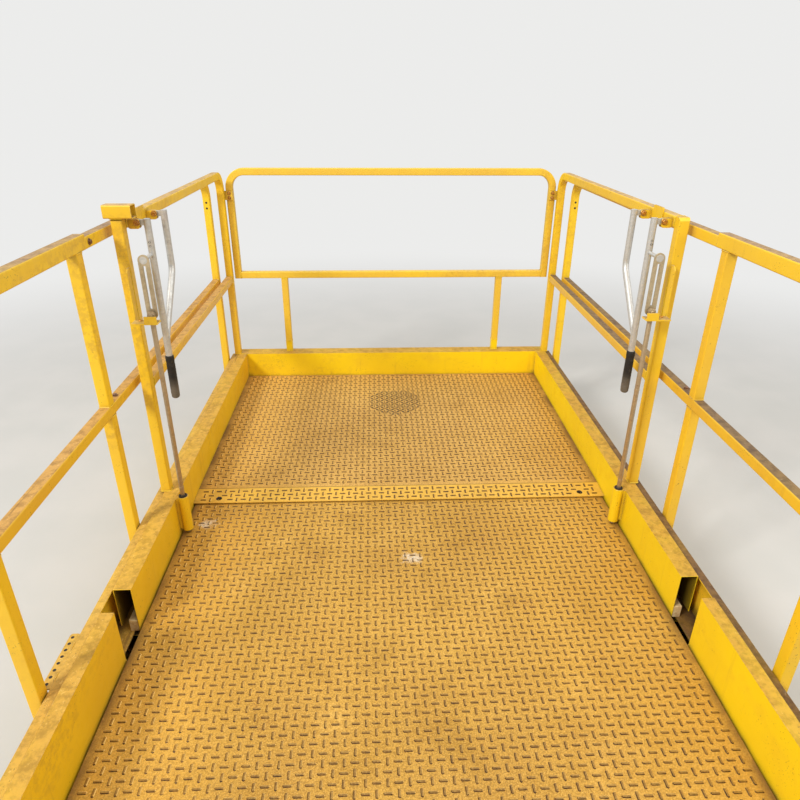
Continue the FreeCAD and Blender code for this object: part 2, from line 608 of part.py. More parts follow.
def slide_pad():
    """Nylon pad on each beam's floor at the front end, under the slide runner."""
    pad = box("slide_pad", RUNNER_X, (f"{RUNNER_FRONT} - pad_length", RUNNER_FRONT),
              (BEAM_FLOOR, f"{RUNNER_LOW} - fit"))
    both_sides("slide_pad", pad)


def front_board():
    """Front toe board with a wide top, an apron in front and two feet for the guard."""
    low = "deck_top + ext_rise"
    inner, front = f"{BOARD_INNER} + fold_sheet", f"{BOARD_FRONT} - fold_sheet"
    apron = "deck_top - apron_depth"
    profile = [(BOARD_INNER, low), (BOARD_INNER, CHANNEL_TOP), (BOARD_FRONT, CHANNEL_TOP),
               (BOARD_FRONT, apron), (front, apron), (front, f"{CHANNEL_TOP} - fold_sheet"),
               (inner, f"{CHANNEL_TOP} - fold_sheet"), (inner, low)]
    pieces = [pad_across("front_board_section", profile, "2 * inner_half")]
    for side in (1, -1):
        pieces.append(square_tube("post_foot", y_about(f"{side} * {FRONT_POST}"), LOOP_Y,
                                  (CHANNEL_TOP, f"{CHANNEL_TOP} + foot_height"), "z"))
    node(fuse("front_toe_board", pieces), "front_toe_board")


def lever_post():
    """Post on the side channel with a chamfered head; the left one carries a short box tube."""
    post = square_tube("lever_post_tube", EXT_GUARD_X, ("lever_post_rear", LEVER_POST_FRONT),
                       (CHANNEL_TOP, EXT_TOP_UNDER), "z")
    head = pad_across("lever_post_head",
                      [("lever_post_rear", EXT_TOP_UNDER), (LEVER_POST_FRONT, EXT_TOP_UNDER),
                       (LEVER_POST_FRONT, EXT_TOP), ("lever_post_rear + head_chamfer", EXT_TOP),
                       ("lever_post_rear", f"{EXT_TOP} - head_chamfer")], "rail_tube")
    bind(head, Base_x=EXT_GUARD_MIDDLE)
    right = node(fuse("lever_post", [post, head]), "lever_post_right")
    cap = square_tube("lever_cap", (f"slide_gap - ({GUARD_INNER})", f"cap_reach - ({EXT_GUARD_INNER})"),
                      ("lever_post_rear - cap_overhang", f"{LEVER_POST_FRONT} + cap_overhang"),
                      (EXT_TOP, f"{EXT_TOP} + cap_height"), "x")
    node(fuse("lever_post_capped", [mirror("lever_post_mirror", right), cap]), "lever_post_left")


def hex_head(name, start):
    """A hexagonal bolt head or nut that points along +Y."""
    item = doc.addObject("Part::Prism", name)
    item.Placement.Rotation = Rotation(Z_AXIS, Y_AXIS)
    item.Polygon = 6
    bind(item, Base_x=start[0], Base_y=start[1], Base_z=start[2], Circumradius="bolt_head",
         Height="lug_sheet")
    return item


def extension_rails():
    """Top rail bent down to the front corner, with the lever lugs and their bolts, and mid rail."""
    corner = f"{BOARD_INNER} + rail_tube / 2"
    middle = f"{EXT_TOP} - rail_tube / 2"
    rail = bent_tube("extension_rail", "YZ_Plane",
                     [(corner, CHANNEL_TOP), (corner, middle), (LEVER_POST_FRONT, middle)])
    bind(rail, Base_x=EXT_GUARD_MIDDLE)
    plate = box("hinge_plate", (f"{EXT_GUARD_INNER} - lug_sheet", EXT_GUARD_INNER),
                (f"{LEVER_Y} + plate_ahead", f"{LEVER_Y} + plate_ahead + plate_length"),
                (EXT_TOP_UNDER, f"{EXT_TOP} + plate_rise"))
    pieces = [rail, plate]
    reach = "ear_sheet / 2 + lug_gap"
    for name, y in (("straight", LEVER_Y), ("bent", BENT_Y)):
        rear, front = f"{y} - ({reach}) - lug_sheet", f"{y} + {reach}"
        for side, low in (("rear", rear), ("front", front)):
            pieces.append(box(f"lug_{name}_{side}", (f"{PIVOT_X} - bolt_head", EXT_GUARD_INNER),
                              (low, f"{low} + lug_sheet"),
                              (f"{LEVER_HINGE} - lug_low", f"{LEVER_HINGE} + lug_high")))
        pieces.append(cylinder(f"lug_bolt_{name}", Y_AXIS, (PIVOT_X, f"{y} - ({reach})", LEVER_HINGE),
                               f"2 * ({reach})", "lever_bolt"))
        for side, low in (("rear", f"{rear} - lug_sheet"), ("front", f"{front} + lug_sheet")):
            pieces.append(hex_head(f"lug_bolt_head_{name}_{side}", (PIVOT_X, low, LEVER_HINGE)))
    both_sides("extension_top_rail", fuse("extension_top_rail", pieces))
    mid = square_tube("extension_mid_rail", EXT_GUARD_X, (LEVER_POST_FRONT, BOARD_INNER), MID_Z, "y")
    both_sides("extension_mid_rail", mid)


def front_guard():
    """Front guard: bent loop with a tab to each side rail, lower rail and two posts in their feet."""
    side = f"{LOOP_OUTER} - rail_tube / 2"
    low = "deck_top + loop_low"
    top = f"{LOOP_TOP} - rail_tube / 2"
    loop = bent_tube("guard_loop", "XZ_Plane",
                     [(f"-({side})", low), (f"-({side})", top), (side, top), (side, low)])
    bind(loop, Base_y=f"{LOOP_Y[0]} + rail_tube / 2")
    inner = f"{LOOP_OUTER} - rail_tube"
    pieces = [loop, square_tube("guard_low_rail", (f"-({inner})", inner), LOOP_Y,
                                (low, f"{low} + rail_tube"), "x")]
    for sign in (1, -1):
        pieces.append(square_tube("guard_post", y_about(f"{sign} * {FRONT_POST}"), LOOP_Y,
                                  (f"{CHANNEL_TOP} + foot_height", low), "z"))
    tab_x = (inner, f"{EXT_GUARD_INNER} + rail_tube")
    tab_y = (f"{BOARD_INNER} + rail_tube", LOOP_Y[0])
    tab_z = (f"{LOOP_TOP} - tab_drop - tab_height", f"{LOOP_TOP} - tab_drop")
    for name, x in (("right", tab_x), ("left", (f"-({tab_x[1]})", f"-({tab_x[0]})"))):
        pieces.append(box("loop_tab_" + name, x, tab_y, tab_z))
    node(fuse("front_guard", pieces), "front_guard")


def lock_socket():
    """Round socket on the channel's inner face, in which the lock rod slides."""
    low, top = "deck_top + ext_rise", "deck_top + socket_top"
    depth = f"{top} - ({low})"
    start = (LEVER_X, ROD_Y, low)
    shell = cylinder("socket_shell", Z_AXIS, start, depth, "socket_radius")
    pad = box("socket_pad", (LEVER_X, "inner_half"), y_about(ROD_Y, "socket_pad"), (low, top))
    bore = cylinder("socket_bore", Z_AXIS, start, depth, "rod_radius + fit")
    both_sides("lock_socket", cut("lock_socket", fuse("socket_blank", [shell, pad]), bore))


def rod_guide():
    """Bracket on the lever post: an upright fin, and a lipped shelf that guides the lock rod."""
    low = f"{LINK_FOOT} - guide_drop"
    rear = "lever_post_rear - fin_depth"
    foot, top = f"{low} - fin_drop", f"{low} + fin_height"
    fin = pad_across("guide_fin",
                     [("lever_post_rear", foot), ("lever_post_rear", top), (f"{rear} + fin_chamfer", top),
                      (rear, f"{top} - fin_chamfer"), (rear, f"{foot} + fin_chamfer"),
                      (f"{rear} + fin_chamfer", foot)], "lug_sheet")
    bind(fin, Base_x=f"{EXT_GUARD_INNER} + lug_sheet / 2")
    inner = f"{LEVER_X} - guide_half"
    shelf = box("guide_shelf", (inner, f"{EXT_GUARD_INNER} + lug_sheet"),
                (f"{ROD_Y} - guide_half", f"{ROD_Y} + guide_half"), (low, f"{low} + lug_sheet"))
    lip = box("guide_lip", (inner, f"{LEVER_X} + guide_half"),
              (f"{ROD_Y} - guide_half", f"{ROD_Y} - guide_half + lug_sheet"), (low, f"{low} + guide_lip"))
    hole = cylinder("guide_hole", Z_AXIS, (LEVER_X, ROD_Y, low), "lug_sheet", "rod_radius + fit")
    both_sides("rod_guide", cut("rod_guide", fuse("guide_blank", [fin, shelf, lip]), hole))


def lever():
    """Y-shaped lever of a straight tube and a bent tube with an ear each, and its grip."""
    end = f"{LEVER_HINGE} - handle_length"
    top = f"{LEVER_HINGE} + lever_radius"
    straight = cylinder("lever_straight", Z_AXIS, (LEVER_X, LEVER_Y, end), f"{top} - ({end})",
                        "lever_radius")
    # The cylinder's seam faces forward, clear of the ear.
    straight.Placement.Rotation = Rotation(X_AXIS, Y_AXIS)
    body = new_body("lever_bent")
    path = new_sketch(body, "lever_path", "YZ_Plane")
    kink, merge = (BENT_Y, f"{LEVER_HINGE} - kink_depth"), (LEVER_Y, f"{LEVER_HINGE} - merge_depth")
    upper = path.addGeometry(Part.LineSegment(spot((BENT_Y, top)), spot(kink)))
    lower = path.addGeometry(Part.LineSegment(spot(kink), spot(merge)))
    path.addConstraint(Sketcher.Constraint("Coincident", upper, 2, lower, 1))
    place_point(path, upper, 1, (BENT_Y, top))
    place_point(path, upper, 2, kink)
    place_point(path, lower, 2, merge)
    section = new_sketch(body, "lever_section", "XY_Plane")
    circle = section.addGeometry(Part.Circle(spot(("0", BENT_Y)), Z_AXIS, value_of("lever_radius")))
    section.addConstraint(Sketcher.Constraint("Radius", circle, value_of("lever_radius")))
    section.renameConstraint(0, "tube")
    section.setExpression("Constraints.tube", formula("lever_radius"))
    place_point(section, circle, 3, ("0", BENT_Y))
    section.setExpression("AttachmentOffset.Base.z", formula(top))
    pipe = body.newObject("PartDesign::AdditivePipe", "lever_pipe")
    pipe.Profile, pipe.Spine = section, (path, ["Edge1", "Edge2"])
    pipe.Transition = "Right corner"
    bind(body, Base_x=LEVER_X)
    pin_start = f"{LINK_REAR} + link_sheet + 2 * fit"
    pin = cylinder("lever_pin", Y_AXIS, (LEVER_X, pin_start, LINK_TOP), f"{LEVER_Y} - ({pin_start})",
                   "link_pin")
    pieces, bores = [straight, body, pin], []
    for name, y in (("straight", LEVER_Y), ("bent", BENT_Y)):
        start = (PIVOT_X, f"{y} - ear_sheet / 2", LEVER_HINGE)
        pieces.append(box("ear_" + name, (LEVER_X, PIVOT_X), y_about(y, "ear_sheet"),
                          (f"{LEVER_HINGE} - ear_half", f"{LEVER_HINGE} + ear_half")))
        pieces.append(cylinder("ear_end_" + name, Y_AXIS, start, "ear_sheet", "lever_radius"))
        bores.append(cylinder("ear_bore_" + name, Y_AXIS, start, "ear_sheet", "lever_bolt + fit"))
    both_sides("lever", cut("lever", fuse("lever_blank", pieces), fuse("lever_bores", bores)))
    grip = cylinder("grip_outer", Z_AXIS, (LEVER_X, LEVER_Y, f"{end} - grip_end"), "grip_length",
                    "grip_radius")
    bore = cylinder("grip_bore", Z_AXIS, (LEVER_X, LEVER_Y, end), "grip_length", "lever_radius")
    both_sides("lever_grip", cut("lever_grip", grip, bore))


def lock_rod():
    """Round lock rod with the link's pin at its top."""
    low, top = "deck_top + rod_tip", f"{LINK_FOOT} + 2 * link_pin"
    rod = cylinder("rod_bar", Z_AXIS, (LEVER_X, ROD_Y, low), f"{top} - ({low})", "rod_radius")
    pin = cylinder("rod_pin", Y_AXIS, (LEVER_X, ROD_Y, LINK_FOOT),
                   f"{LINK_REAR} + link_sheet + pin_stand - {ROD_Y}", "link_pin")
    both_sides("lock_rod", fuse("lock_rod", [rod, pin]))


def link():
    """Flat slotted link from the lock rod's pin up to the lever's pin."""
    half = "link_width / 2"
    strap = box("link_strap", (f"{LEVER_X} - {half}", f"{LEVER_X} + {half}"),
                (LINK_REAR, f"{LINK_REAR} + link_sheet"), (LINK_FOOT, LINK_TOP))
    ends = [cylinder("link_end", Y_AXIS, (LEVER_X, LINK_REAR, z), "link_sheet", half)
            for z in (LINK_FOOT, LINK_TOP)]
    bore = cylinder("link_bore", Y_AXIS, (LEVER_X, LINK_REAR, LINK_FOOT), "link_sheet", "link_pin + fit")
    slot = box("link_slot", (f"{LEVER_X} - link_slot / 2", f"{LEVER_X} + link_slot / 2"),
               (LINK_REAR, f"{LINK_REAR} + link_sheet"), (f"{LINK_FOOT} + {half}", f"{LINK_TOP} - {half}"))
    both_sides("lock_link", cut("lock_link", fuse("link_blank", [strap] + ends),
                                fuse("link_holes", [bore, slot])))


def write_parts():
    """Check every object and write each part's shape."""
    doc.recompute()
    for item in doc.Objects:
        bad = {"Invalid", "Error"} & set(item.State)
        if bad:
            raise RuntimeError(f"{item.Name} ({item.Label}) failed: {item.State}")
    os.makedirs("parts", exist_ok=True)
    for item in nodes:
        if item.Shape.isNull() or not item.Shape.isValid() or not item.Shape.Solids:
            raise RuntimeError(f"{item.Label} has no valid shape")
    for item in nodes:
        item.Shape.exportStep(f"parts/{item.Label}.step")
    print(len(nodes), "parts written")


main_deck()
side_beam()
side_toe_board()
cross_members()
roller_track()
pivot_bracket()
main_guard()
rear_guards()
gate()
extension_deck()
extension_side()
slide_pad()
front_board()
lever_post()
extension_rails()
front_guard()
lock_socket()
rod_guide()
lever()
lock_rod()
link()
write_parts()
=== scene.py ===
import math

import bmesh
import bpy
from mathutils import Matrix, Vector


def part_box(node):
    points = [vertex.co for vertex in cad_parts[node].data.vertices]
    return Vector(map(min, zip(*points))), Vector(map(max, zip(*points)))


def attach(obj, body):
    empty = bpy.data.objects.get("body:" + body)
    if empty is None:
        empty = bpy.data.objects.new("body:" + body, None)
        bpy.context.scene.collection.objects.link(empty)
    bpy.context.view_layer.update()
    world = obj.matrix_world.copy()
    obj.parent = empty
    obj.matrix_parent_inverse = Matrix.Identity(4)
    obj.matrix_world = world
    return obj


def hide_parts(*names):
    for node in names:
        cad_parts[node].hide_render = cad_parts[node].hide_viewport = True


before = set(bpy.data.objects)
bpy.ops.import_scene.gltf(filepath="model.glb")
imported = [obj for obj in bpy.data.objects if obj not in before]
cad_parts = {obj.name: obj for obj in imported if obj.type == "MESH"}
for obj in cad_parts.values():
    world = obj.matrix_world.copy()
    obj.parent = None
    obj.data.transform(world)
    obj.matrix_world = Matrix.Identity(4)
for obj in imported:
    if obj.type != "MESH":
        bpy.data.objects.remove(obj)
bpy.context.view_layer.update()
SIGNS = (1, -1)
SIDES = (("right", 1), ("left", -1))
ACROSS, ALONG, UPRIGHT = Vector((1, 0, 0)), Vector((0, 1, 0)), Vector((0, 0, 1))
MM = 0.001


# Places taken from the frame, in millimetres; x is that of the right side, and the left mirrors it


def ends(node, axis):
    """Low and high end of a CAD node along x, y or z."""
    lo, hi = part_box(node)
    k = "xyz".index(axis)
    return lo[k] * 1000, hi[k] * 1000


def middle(node, axis):
    return sum(ends(node, axis)) / 2


# Square tube of the rails: half its width, and the radius of its corners and of its bends
HALF, TUBE_CORNER, BEND = 17.5, 4.5, 80.0
SEAT = 0.5  # how far a tube's end reaches into its neighbour

# Decks and boards
DECK_REAR, DECK_FRONT_Y = ends("main_deck", "y")
DECK_Z = ends("main_deck", "z")[1]
FRONT_DECK_Z = ends("extension_deck", "z")[1]
BOARD_X, CHANNEL_X = ends("extension_channel_right", "x")
CHANNEL_TOP = ends("extension_channel_right", "z")[1]
BOARD_INNER_Y = ends("front_toe_board", "y")[0]
BOARD_TOP = ends("front_toe_board", "z")[1]
WALL_X = 917.0  # outer face of a side beam
BEAM_Z = ends("side_beam_left", "z")[1]

# Lip of the front deck: its rear edge, length and drop, and a hole at each side
LIP_REAR, LIP_LENGTH, LIP_DROP = ends("extension_deck", "y")[0], 93.0, 6.0
CREASE_Y = LIP_REAR + LIP_LENGTH
LIP_HOLES = [(s * 735.0, LIP_REAR + 27) for s in SIGNS]

# Guard rails of the main frame
GUARD_X = middle("post_near_right", "x")
GUARD_INNER = GUARD_X - HALF
MID_Z = middle("extension_mid_rail_right", "z")
FOOT_Z, RAIL_UNDER = ends("post_near_right", "z")
RAIL_Z = RAIL_UNDER + HALF
RAIL_CAP = ends("top_rail_rear_right", "z")[1]
RAIL_REAR, SPLICE_Y = ends("top_rail_rear_right", "y")
REAR_Y = RAIL_REAR + HALF
FRONT_Y = ends("top_rail_front_right", "y")[1] - HALF
POSTS_Y = [middle("post_second_right", "y"), middle("post_near_right", "y")]
GATE_POST_X = ends("rear_guard_right", "x")[0] + HALF
POCKET_HALF = 21.2  # half the width of a post's pocket

# Gate: half the width of its tube, its top, and the place of its side tubes
GATE_HALF = 15.0
GATE_TOP = ends("gate", "z")[1]
GATE_X = -ends("gate", "x")[0] - 2 * GATE_HALF
GATE_Y = ends("gate", "y")[0] + GATE_HALF

# Rails of the extension
EXT_X = middle("extension_mid_rail_right", "x")
EXT_INNER = EXT_X - HALF
LEVER_POST_Y = middle("lever_post_right", "y")
POST_REAR, POST_FRONT = ends("lever_post_right", "y")
EXT_TOP = ends("lever_post_right", "z")[1]
EXT_RAIL_Z = EXT_TOP - HALF
CORNER_Y = ends("extension_mid_rail_right", "y")[1] + HALF

# Front guard: its outer tubes, low rail, feet and tabs
LOOP_X = EXT_INNER - 4 - HALF
LOOP_Y = ends("front_guard", "y")[1] - HALF
LOOP_TOP = ends("front_guard", "z")[1]
LOOP_LOW_Z = MID_Z + 12
FEET_X = 592.0
TAB_Z, TAB_HALF, TAB_THICK = LOOP_TOP - 132.5, 22.5, 7.0

# Hand lever: its straight tube at LEVER_Y, the bent one at FORK_Y, and the pin for the link
LEVER_X, LEVER_Y = (middle("lever_grip_right", axis) for axis in "xy")
LEVER_RADIUS = 11.0
FORK_Y = ends("lever_right", "y")[1] - LEVER_RADIUS
LEVER_TOP = ends("lever_right", "z")[1]
EYE_REACH = 30.0
PIVOT_X, PIVOT_Z = LEVER_X + EYE_REACH, LEVER_TOP - 11
GRIP_Z = ends("lever_grip_right", "z")
LEVER_PIN_Z = PIVOT_Z - 99
LUG_AWAY, LUG_THICK = 7.0, 5.0

# Lock: rod, link, guide and socket
ROD_Y = middle("lock_socket_right", "y")
LINK_LENGTH = 171.0
ROD_PIN_Z = middle("lock_link_right", "z") - LINK_LENGTH / 2
GUIDE_Z = ends("rod_guide_right", "z")
SOCKET_FOOT, SOCKET_TOP = ends("lock_socket_right", "z")
MOUTH = SOCKET_TOP - 16
STROKE = 1150.0
LOCK_HOLES = [(s * LEVER_X, y) for s in SIGNS for y in (ROD_Y, ROD_Y + STROKE)]

# Perforated edge strip at the left: its ends, width and thickness
STRIP_Y, STRIP_WIDTH, STRIP_THICK = (POSTS_Y[0] + 19.5, 1455.0), 24.0, 4.0
STRIP_X = -WALL_X - STRIP_WIDTH / 2


# Geometry helpers: every length is in millimetres and is turned into metres in piece()


def circle(count):
    turns = (2 * math.pi * i / count for i in range(count))
    return [(math.cos(turn), math.sin(turn)) for turn in turns]


def ring(bm, centre, side, up, radius, count):
    """A circle of new vertices in the plane of side and up."""
    return [bm.verts.new(centre + radius * (c * side + s * up)) for c, s in circle(count)]


def skin(bm, rings, closed=False):
    """Joins rings of vertices with quads, and the last to the first if closed; otherwise it caps both."""
    following = rings[1:]
    if closed:
        following.append(rings[0])
    for a, b in zip(rings, following):
        for i in range(len(a)):
            j = (i + 1) % len(a)
            bm.faces.new((a[i], a[j], b[j], b[i]))
    if not closed:
        bm.faces.new(rings[0][::-1])
        bm.faces.new(rings[-1])


def tube(bm, points, radii, sides=16, closed=False, start_side=None):
    """A round tube along points; radii is one radius or a list of one for each point."""
    points = [Vector(p) for p in points]
    if not isinstance(radii, list):
        radii = [radii] * len(points)
    side = start_side
    rings = []
    for i, p in enumerate(points):
        before = points[i - 1] if i or closed else p
        after = points[(i + 1) % len(points)] if i + 1 < len(points) or closed else p
        axis = (after - before).normalized()
        if side is None:
            side = axis.orthogonal().normalized()
        side = (side - axis * side.dot(axis)).normalized()
        rings.append(ring(bm, p, side, axis.cross(side), radii[i], sides))
    skin(bm, rings, closed)


def turned(bm, origin, axis, profile, sides=24, closed=False, start_side=None):
    """A turned shape: profile is a list of (radius, height along the axis); closed leaves its middle open."""
    axis = Vector(axis).normalized()
    side = start_side or axis.orthogonal().normalized()
    up = axis.cross(side)
    rings = [ring(bm, Vector(origin) + axis * height, side, up, radius, sides) for radius, height in profile]
    skin(bm, rings, closed)


def hex_bolt(bm, origin, axis, size, height, washer=True):
    """A hexagon head with a rounded crown, on a washer or bare; size is half its width over corners."""
    base = 1.8 if washer else 0.0
    if washer:
        turned(bm, origin, axis,
               [(size * 1.32, -0.3), (size * 1.32, 1.2), (size * 1.22, base), (size * 0.6, base)], 20)
    head = [(1, -0.2), (1, height * 0.82), (0.86, height), (0.45, height * 1.05)]
    turned(bm, origin, axis, [(size * scale, base + level) for scale, level in head], 6)


def dimple(bm, origin, axis, radius):
    """A drilled hole with a burred rim."""
    turned(bm, origin, axis,
           [(radius * 1.25, -0.4), (radius * 1.25, 0.2), (radius, 0.5), (radius * 0.8, 0.15)], 16)


def rounded(points, radius, steps=10):
    """A path with its inner corners replaced by arcs."""
    points = [Vector(p) for p in points]
    path = [points[0]]
    for a, b, c in zip(points, points[1:], points[2:]):
        u, v = (a - b).normalized(), (c - b).normalized()
        angle = u.angle(v)
        reach = radius / math.tan(angle / 2)
        centre = b + (u + v).normalized() * radius / math.sin(angle / 2)
        start, end = (b + u * reach - centre).normalized(), (b + v * reach - centre).normalized()
        turn = start.angle(end)
        for i in range(steps + 1):
            k = i / steps
            arm = start * math.sin((1 - k) * turn) + end * math.sin(k * turn)
            path.append(centre + arm * (radius / math.sin(turn)))
    path.append(points[-1])
    return path


def rounded_outline(half_a, half_b, corner):
    """A rectangle with rounded corners, as points about its middle."""
    steps = 3
    points = []
    for quarter, (a, b) in enumerate(((1, 1), (-1, 1), (-1, -1), (1, -1))):
        for i in range(steps + 1):
            angle = math.pi / 2 * (quarter + i / steps)
            points.append((a * (half_a - corner) + corner * math.cos(angle),
                           b * (half_b - corner) + corner * math.sin(angle)))
    return points


def square_bar(bm, points, normal, half_a=HALF, half_b=HALF):
    """A rounded square section along a path in one plane; half_a is across that plane, half_b in it."""
    points = [Vector(p) for p in points]
    outline = rounded_outline(half_a, half_b, TUBE_CORNER)
    rings = []
    for i, p in enumerate(points):
        before = points[max(i - 1, 0)]
        after = points[min(i + 1, len(points) - 1)]
        up = (after - before).normalized().cross(normal)
        rings.append([bm.verts.new(p + normal * a + up * b) for a, b in outline])
    skin(bm, rings)


def plate(bm, outline, centre, u, v, thickness):
    """A flat plate: an outline in the plane of u and v, centred on its thickness."""
    w = u.cross(v).normalized() * (thickness / 2)
    skin(bm, [[bm.verts.new(Vector(centre) + u * a + v * b + w * k) for a, b in outline] for k in (-1, 1)])


def bead(bm, points, radius=2.6, closed=True):
    """A rippled weld bead along a path."""
    ripple, dip, taper = 3.4, 0.78, 0.4
    points = [Vector(p) for p in points]
    if closed:
        points.append(points[0])
    path = []
    for a, b in zip(points, points[1:]):
        count = max(2, round((b - a).length / (ripple / 2)))
        path += [a.lerp(b, i / count) for i in range(count)]
    if not closed:
        path.append(points[-1])
    swell = [radius * (1.0 if i % 2 else dip) for i in range(len(path))]
    if not closed:
        swell[0] = swell[-1] = radius * taper
    tube(bm, path, swell, 6, closed)


def seam(bm, start, end, radius):
    """A straight weld bead."""
    bead(bm, [start, end], radius, False)


def square_bead(bm, centre, axis, half=HALF, radius=2.6):
    """A bead round a square tube of that half width, in the plane across axis ('x', 'y' or 'z')."""
    k = "xyz".index(axis)
    near = half - TUBE_CORNER
    points = []
    for a, b in ((-near, -half), (near, -half), (half, -near), (half, near),
                 (near, half), (-near, half), (-half, near), (-half, -near)):
        p = list(centre)
        p[(k + 1) % 3] += a
        p[(k + 2) % 3] += b
        points.append(p)
    bead(bm, points, radius)


def add(name, data):
    obj = bpy.data.objects.new(name, data)
    bpy.context.scene.collection.objects.link(obj)
    return obj


def round_edges(obj, width):
    """Welds a mesh and bevels its sharp edges; width is in metres."""
    weld = obj.modifiers.new("weld", "WELD")
    weld.merge_threshold = 0.02 * MM
    bevel = obj.modifiers.new("bevel", "BEVEL")
    bevel.width = width
    bevel.segments = 2
    bevel.limit_method = "ANGLE"
    bevel.angle_limit = math.radians(38)


def piece(name, bm, body, material, smooth=32, bevel=0.0, replaces=(), flat_sides=False):
    """Turns a bmesh in millimetres into an object that rides on a body.

    Edges that turn by more than smooth degrees stay sharp, and 0 leaves every face flat.
    """
    bmesh.ops.scale(bm, vec=(MM, MM, MM), verts=bm.verts)
    bmesh.ops.recalc_face_normals(bm, faces=bm.faces)
    mesh = bpy.data.meshes.new(name)
    for face in bm.faces:
        face.smooth = smooth > 0
    for edge in bm.edges:
        if len(edge.link_faces) == 2 and edge.calc_face_angle(0) > math.radians(smooth):
            edge.smooth = False
    bm.to_mesh(mesh)
    bm.free()
    mesh.materials.append(material)
    obj = add(name, mesh)
    if bevel:
        round_edges(obj, bevel)
    if flat_sides:
        obj.modifiers.new("flat_sides", "WEIGHTED_NORMAL").keep_sharp = True
    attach(obj, body)
    if replaces:
        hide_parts(*replaces)


# Materials


def srgb(r, g, b):
    """A shader's colour from sRGB numbers up to 255."""
    def linear(v):
        v /= 255
        return v / 12.92 if v <= 0.04045 else ((v + 0.055) / 1.055) ** 2.4

    return (linear(r), linear(g), linear(b), 1)


def shifted(tone, r, g, b):
    return srgb(tone[0] + r, tone[1] + g, tone[2] + b)


class Shade:
    """A node tree under construction; values that are nodes' sockets are linked, others are set."""

    def __init__(self, name):
        self.material = bpy.data.materials.new(name)
        self.material.use_nodes = True
        self.tree = self.material.node_tree
        self.bsdf = next(n for n in self.tree.nodes if n.type == "BSDF_PRINCIPLED")
        self.place = self.node("TexCoord", "Object")

    def put(self, socket, value):
        if isinstance(value, bpy.types.NodeSocket):
            self.tree.links.new(value, socket)
        else:
            socket.default_value = value

    def node(self, kind, out=0, settings=None, **inputs):
        """A new node's output; an input is given by its name, or by its number as i0, i1."""
        made = self.tree.nodes.new("ShaderNode" + kind)
        for key, value in (settings or {}).items():
            setattr(made, key, value)
        for key, value in inputs.items():
            self.put(made.inputs[int(key[1:]) if key[1:].isdigit() else key], value)
        return made.outputs[out]

    def noise(self, scale, detail, rough, stretch=None):
        vector = self.node("Mapping", Vector=self.place, Scale=stretch) if stretch else self.place
        return self.node("TexNoise", Vector=vector, Scale=scale, Detail=detail, Roughness=rough)

    def ramp(self, value, low, high, first=0.0, last=1.0):
        """A smooth step from first, where the value is low, to last, where it is high."""
        made = self.tree.nodes.new("ShaderNodeMapRange")
        made.interpolation_type = "SMOOTHSTEP"
        for key, number in (("Value", value), ("From Min", low), ("From Max", high),
                            ("To Min", first), ("To Max", last)):
            self.put(made.inputs[key], number)
        return made.outputs[0]

    def calc(self, how, a, b=0.0):
        return self.node("Math", 0, {"operation": how}, i0=a, i1=b)

    def times(self, *values):
        product = values[0]
        for value in values[1:]:
            product = self.calc("MULTIPLY", product, value)
        return product

    def vectors(self, how, a, b):
        return self.node("VectorMath", "Value", {"operation": how}, i0=a, i1=b)

    def mix(self, factor, a, b):
        """Colour a, with b over it as far as factor says."""
        made = self.tree.nodes.new("ShaderNodeMix")
        made.data_type = "RGBA"
        for number, value in ((0, factor), (6, a), (7, b)):
            self.put(made.inputs[number], value)
        return made.outputs[2]

    def split(self, vector, axis):
        return self.node("SeparateXYZ", "xyz".index(axis), Vector=vector)

    def normal(self):
        return self.node("NewGeometry", "Normal")

    def edges(self, radius):
        """1 on rounded edges and 0 on flat faces."""
        soft = self.node("Bevel", 0, {"samples": 4}, Radius=radius)
        return self.ramp(self.vectors("DOT_PRODUCT", soft, self.normal()), 0.995, 0.80)

    def hollows(self, distance, own=False):
        """1 in corners and 0 in the open; own leaves out what other objects hide."""
        open_air = self.node("AmbientOcclusion", "AO", {"samples": 4, "only_local": own}, Distance=distance)
        return self.ramp(open_air, 0.98, 0.62) if own else self.ramp(open_air, 0.85, 0.25)

    def done(self, color, rough, metal, bump=None, depth=0.0, strength=0.0, specular=0.5):
        """The material, with its bump's depth in metres."""
        for key, value in (("Base Color", color), ("Roughness", rough), ("Metallic", metal),
                           ("Specular IOR Level", specular)):
            self.put(self.bsdf.inputs[key], value)
        if bump is not None:
            normal = self.node("Bump", Height=bump, Distance=depth, Strength=strength)
            self.put(self.bsdf.inputs["Normal"], normal)
        return self.material


# Tones of worn and grimy paint, and of the shade painted into its corners
FADED, RUBBED, STREAK = srgb(224, 178, 42), srgb(184, 138, 54), srgb(170, 126, 56)
PRIMER, BARE = srgb(128, 92, 54), srgb(196, 176, 140)
CHIP, GRIME_AND_SHADE, SPECK, PAINTED_DEEP_SHADE = srgb(104, 70, 40), srgb(104, 76, 38), srgb(92, 66, 40), srgb(58, 38, 20)

# Tones of the decks
DUST, BRIGHT = srgb(248, 202, 108), srgb(236, 190, 96)
SIDE_WEAR_AND_REFLECTION, LIP_HIGHLIGHT = srgb(220, 166, 54), srgb(236, 188, 62)
DECK_RUST, SPLASH, SIDE_DIRT_AND_SHADE = srgb(132, 76, 38), srgb(226, 214, 192), srgb(98, 68, 34)
CREASE_SHADE, DECK_GRIME_AND_SHADE = srgb(84, 54, 22), srgb(76, 50, 22)
BAR_LIT, BAR_SHADOW, BAR_SHADOW_BROWN = srgb(246, 204, 118), srgb(44, 26, 9), srgb(86, 53, 20)

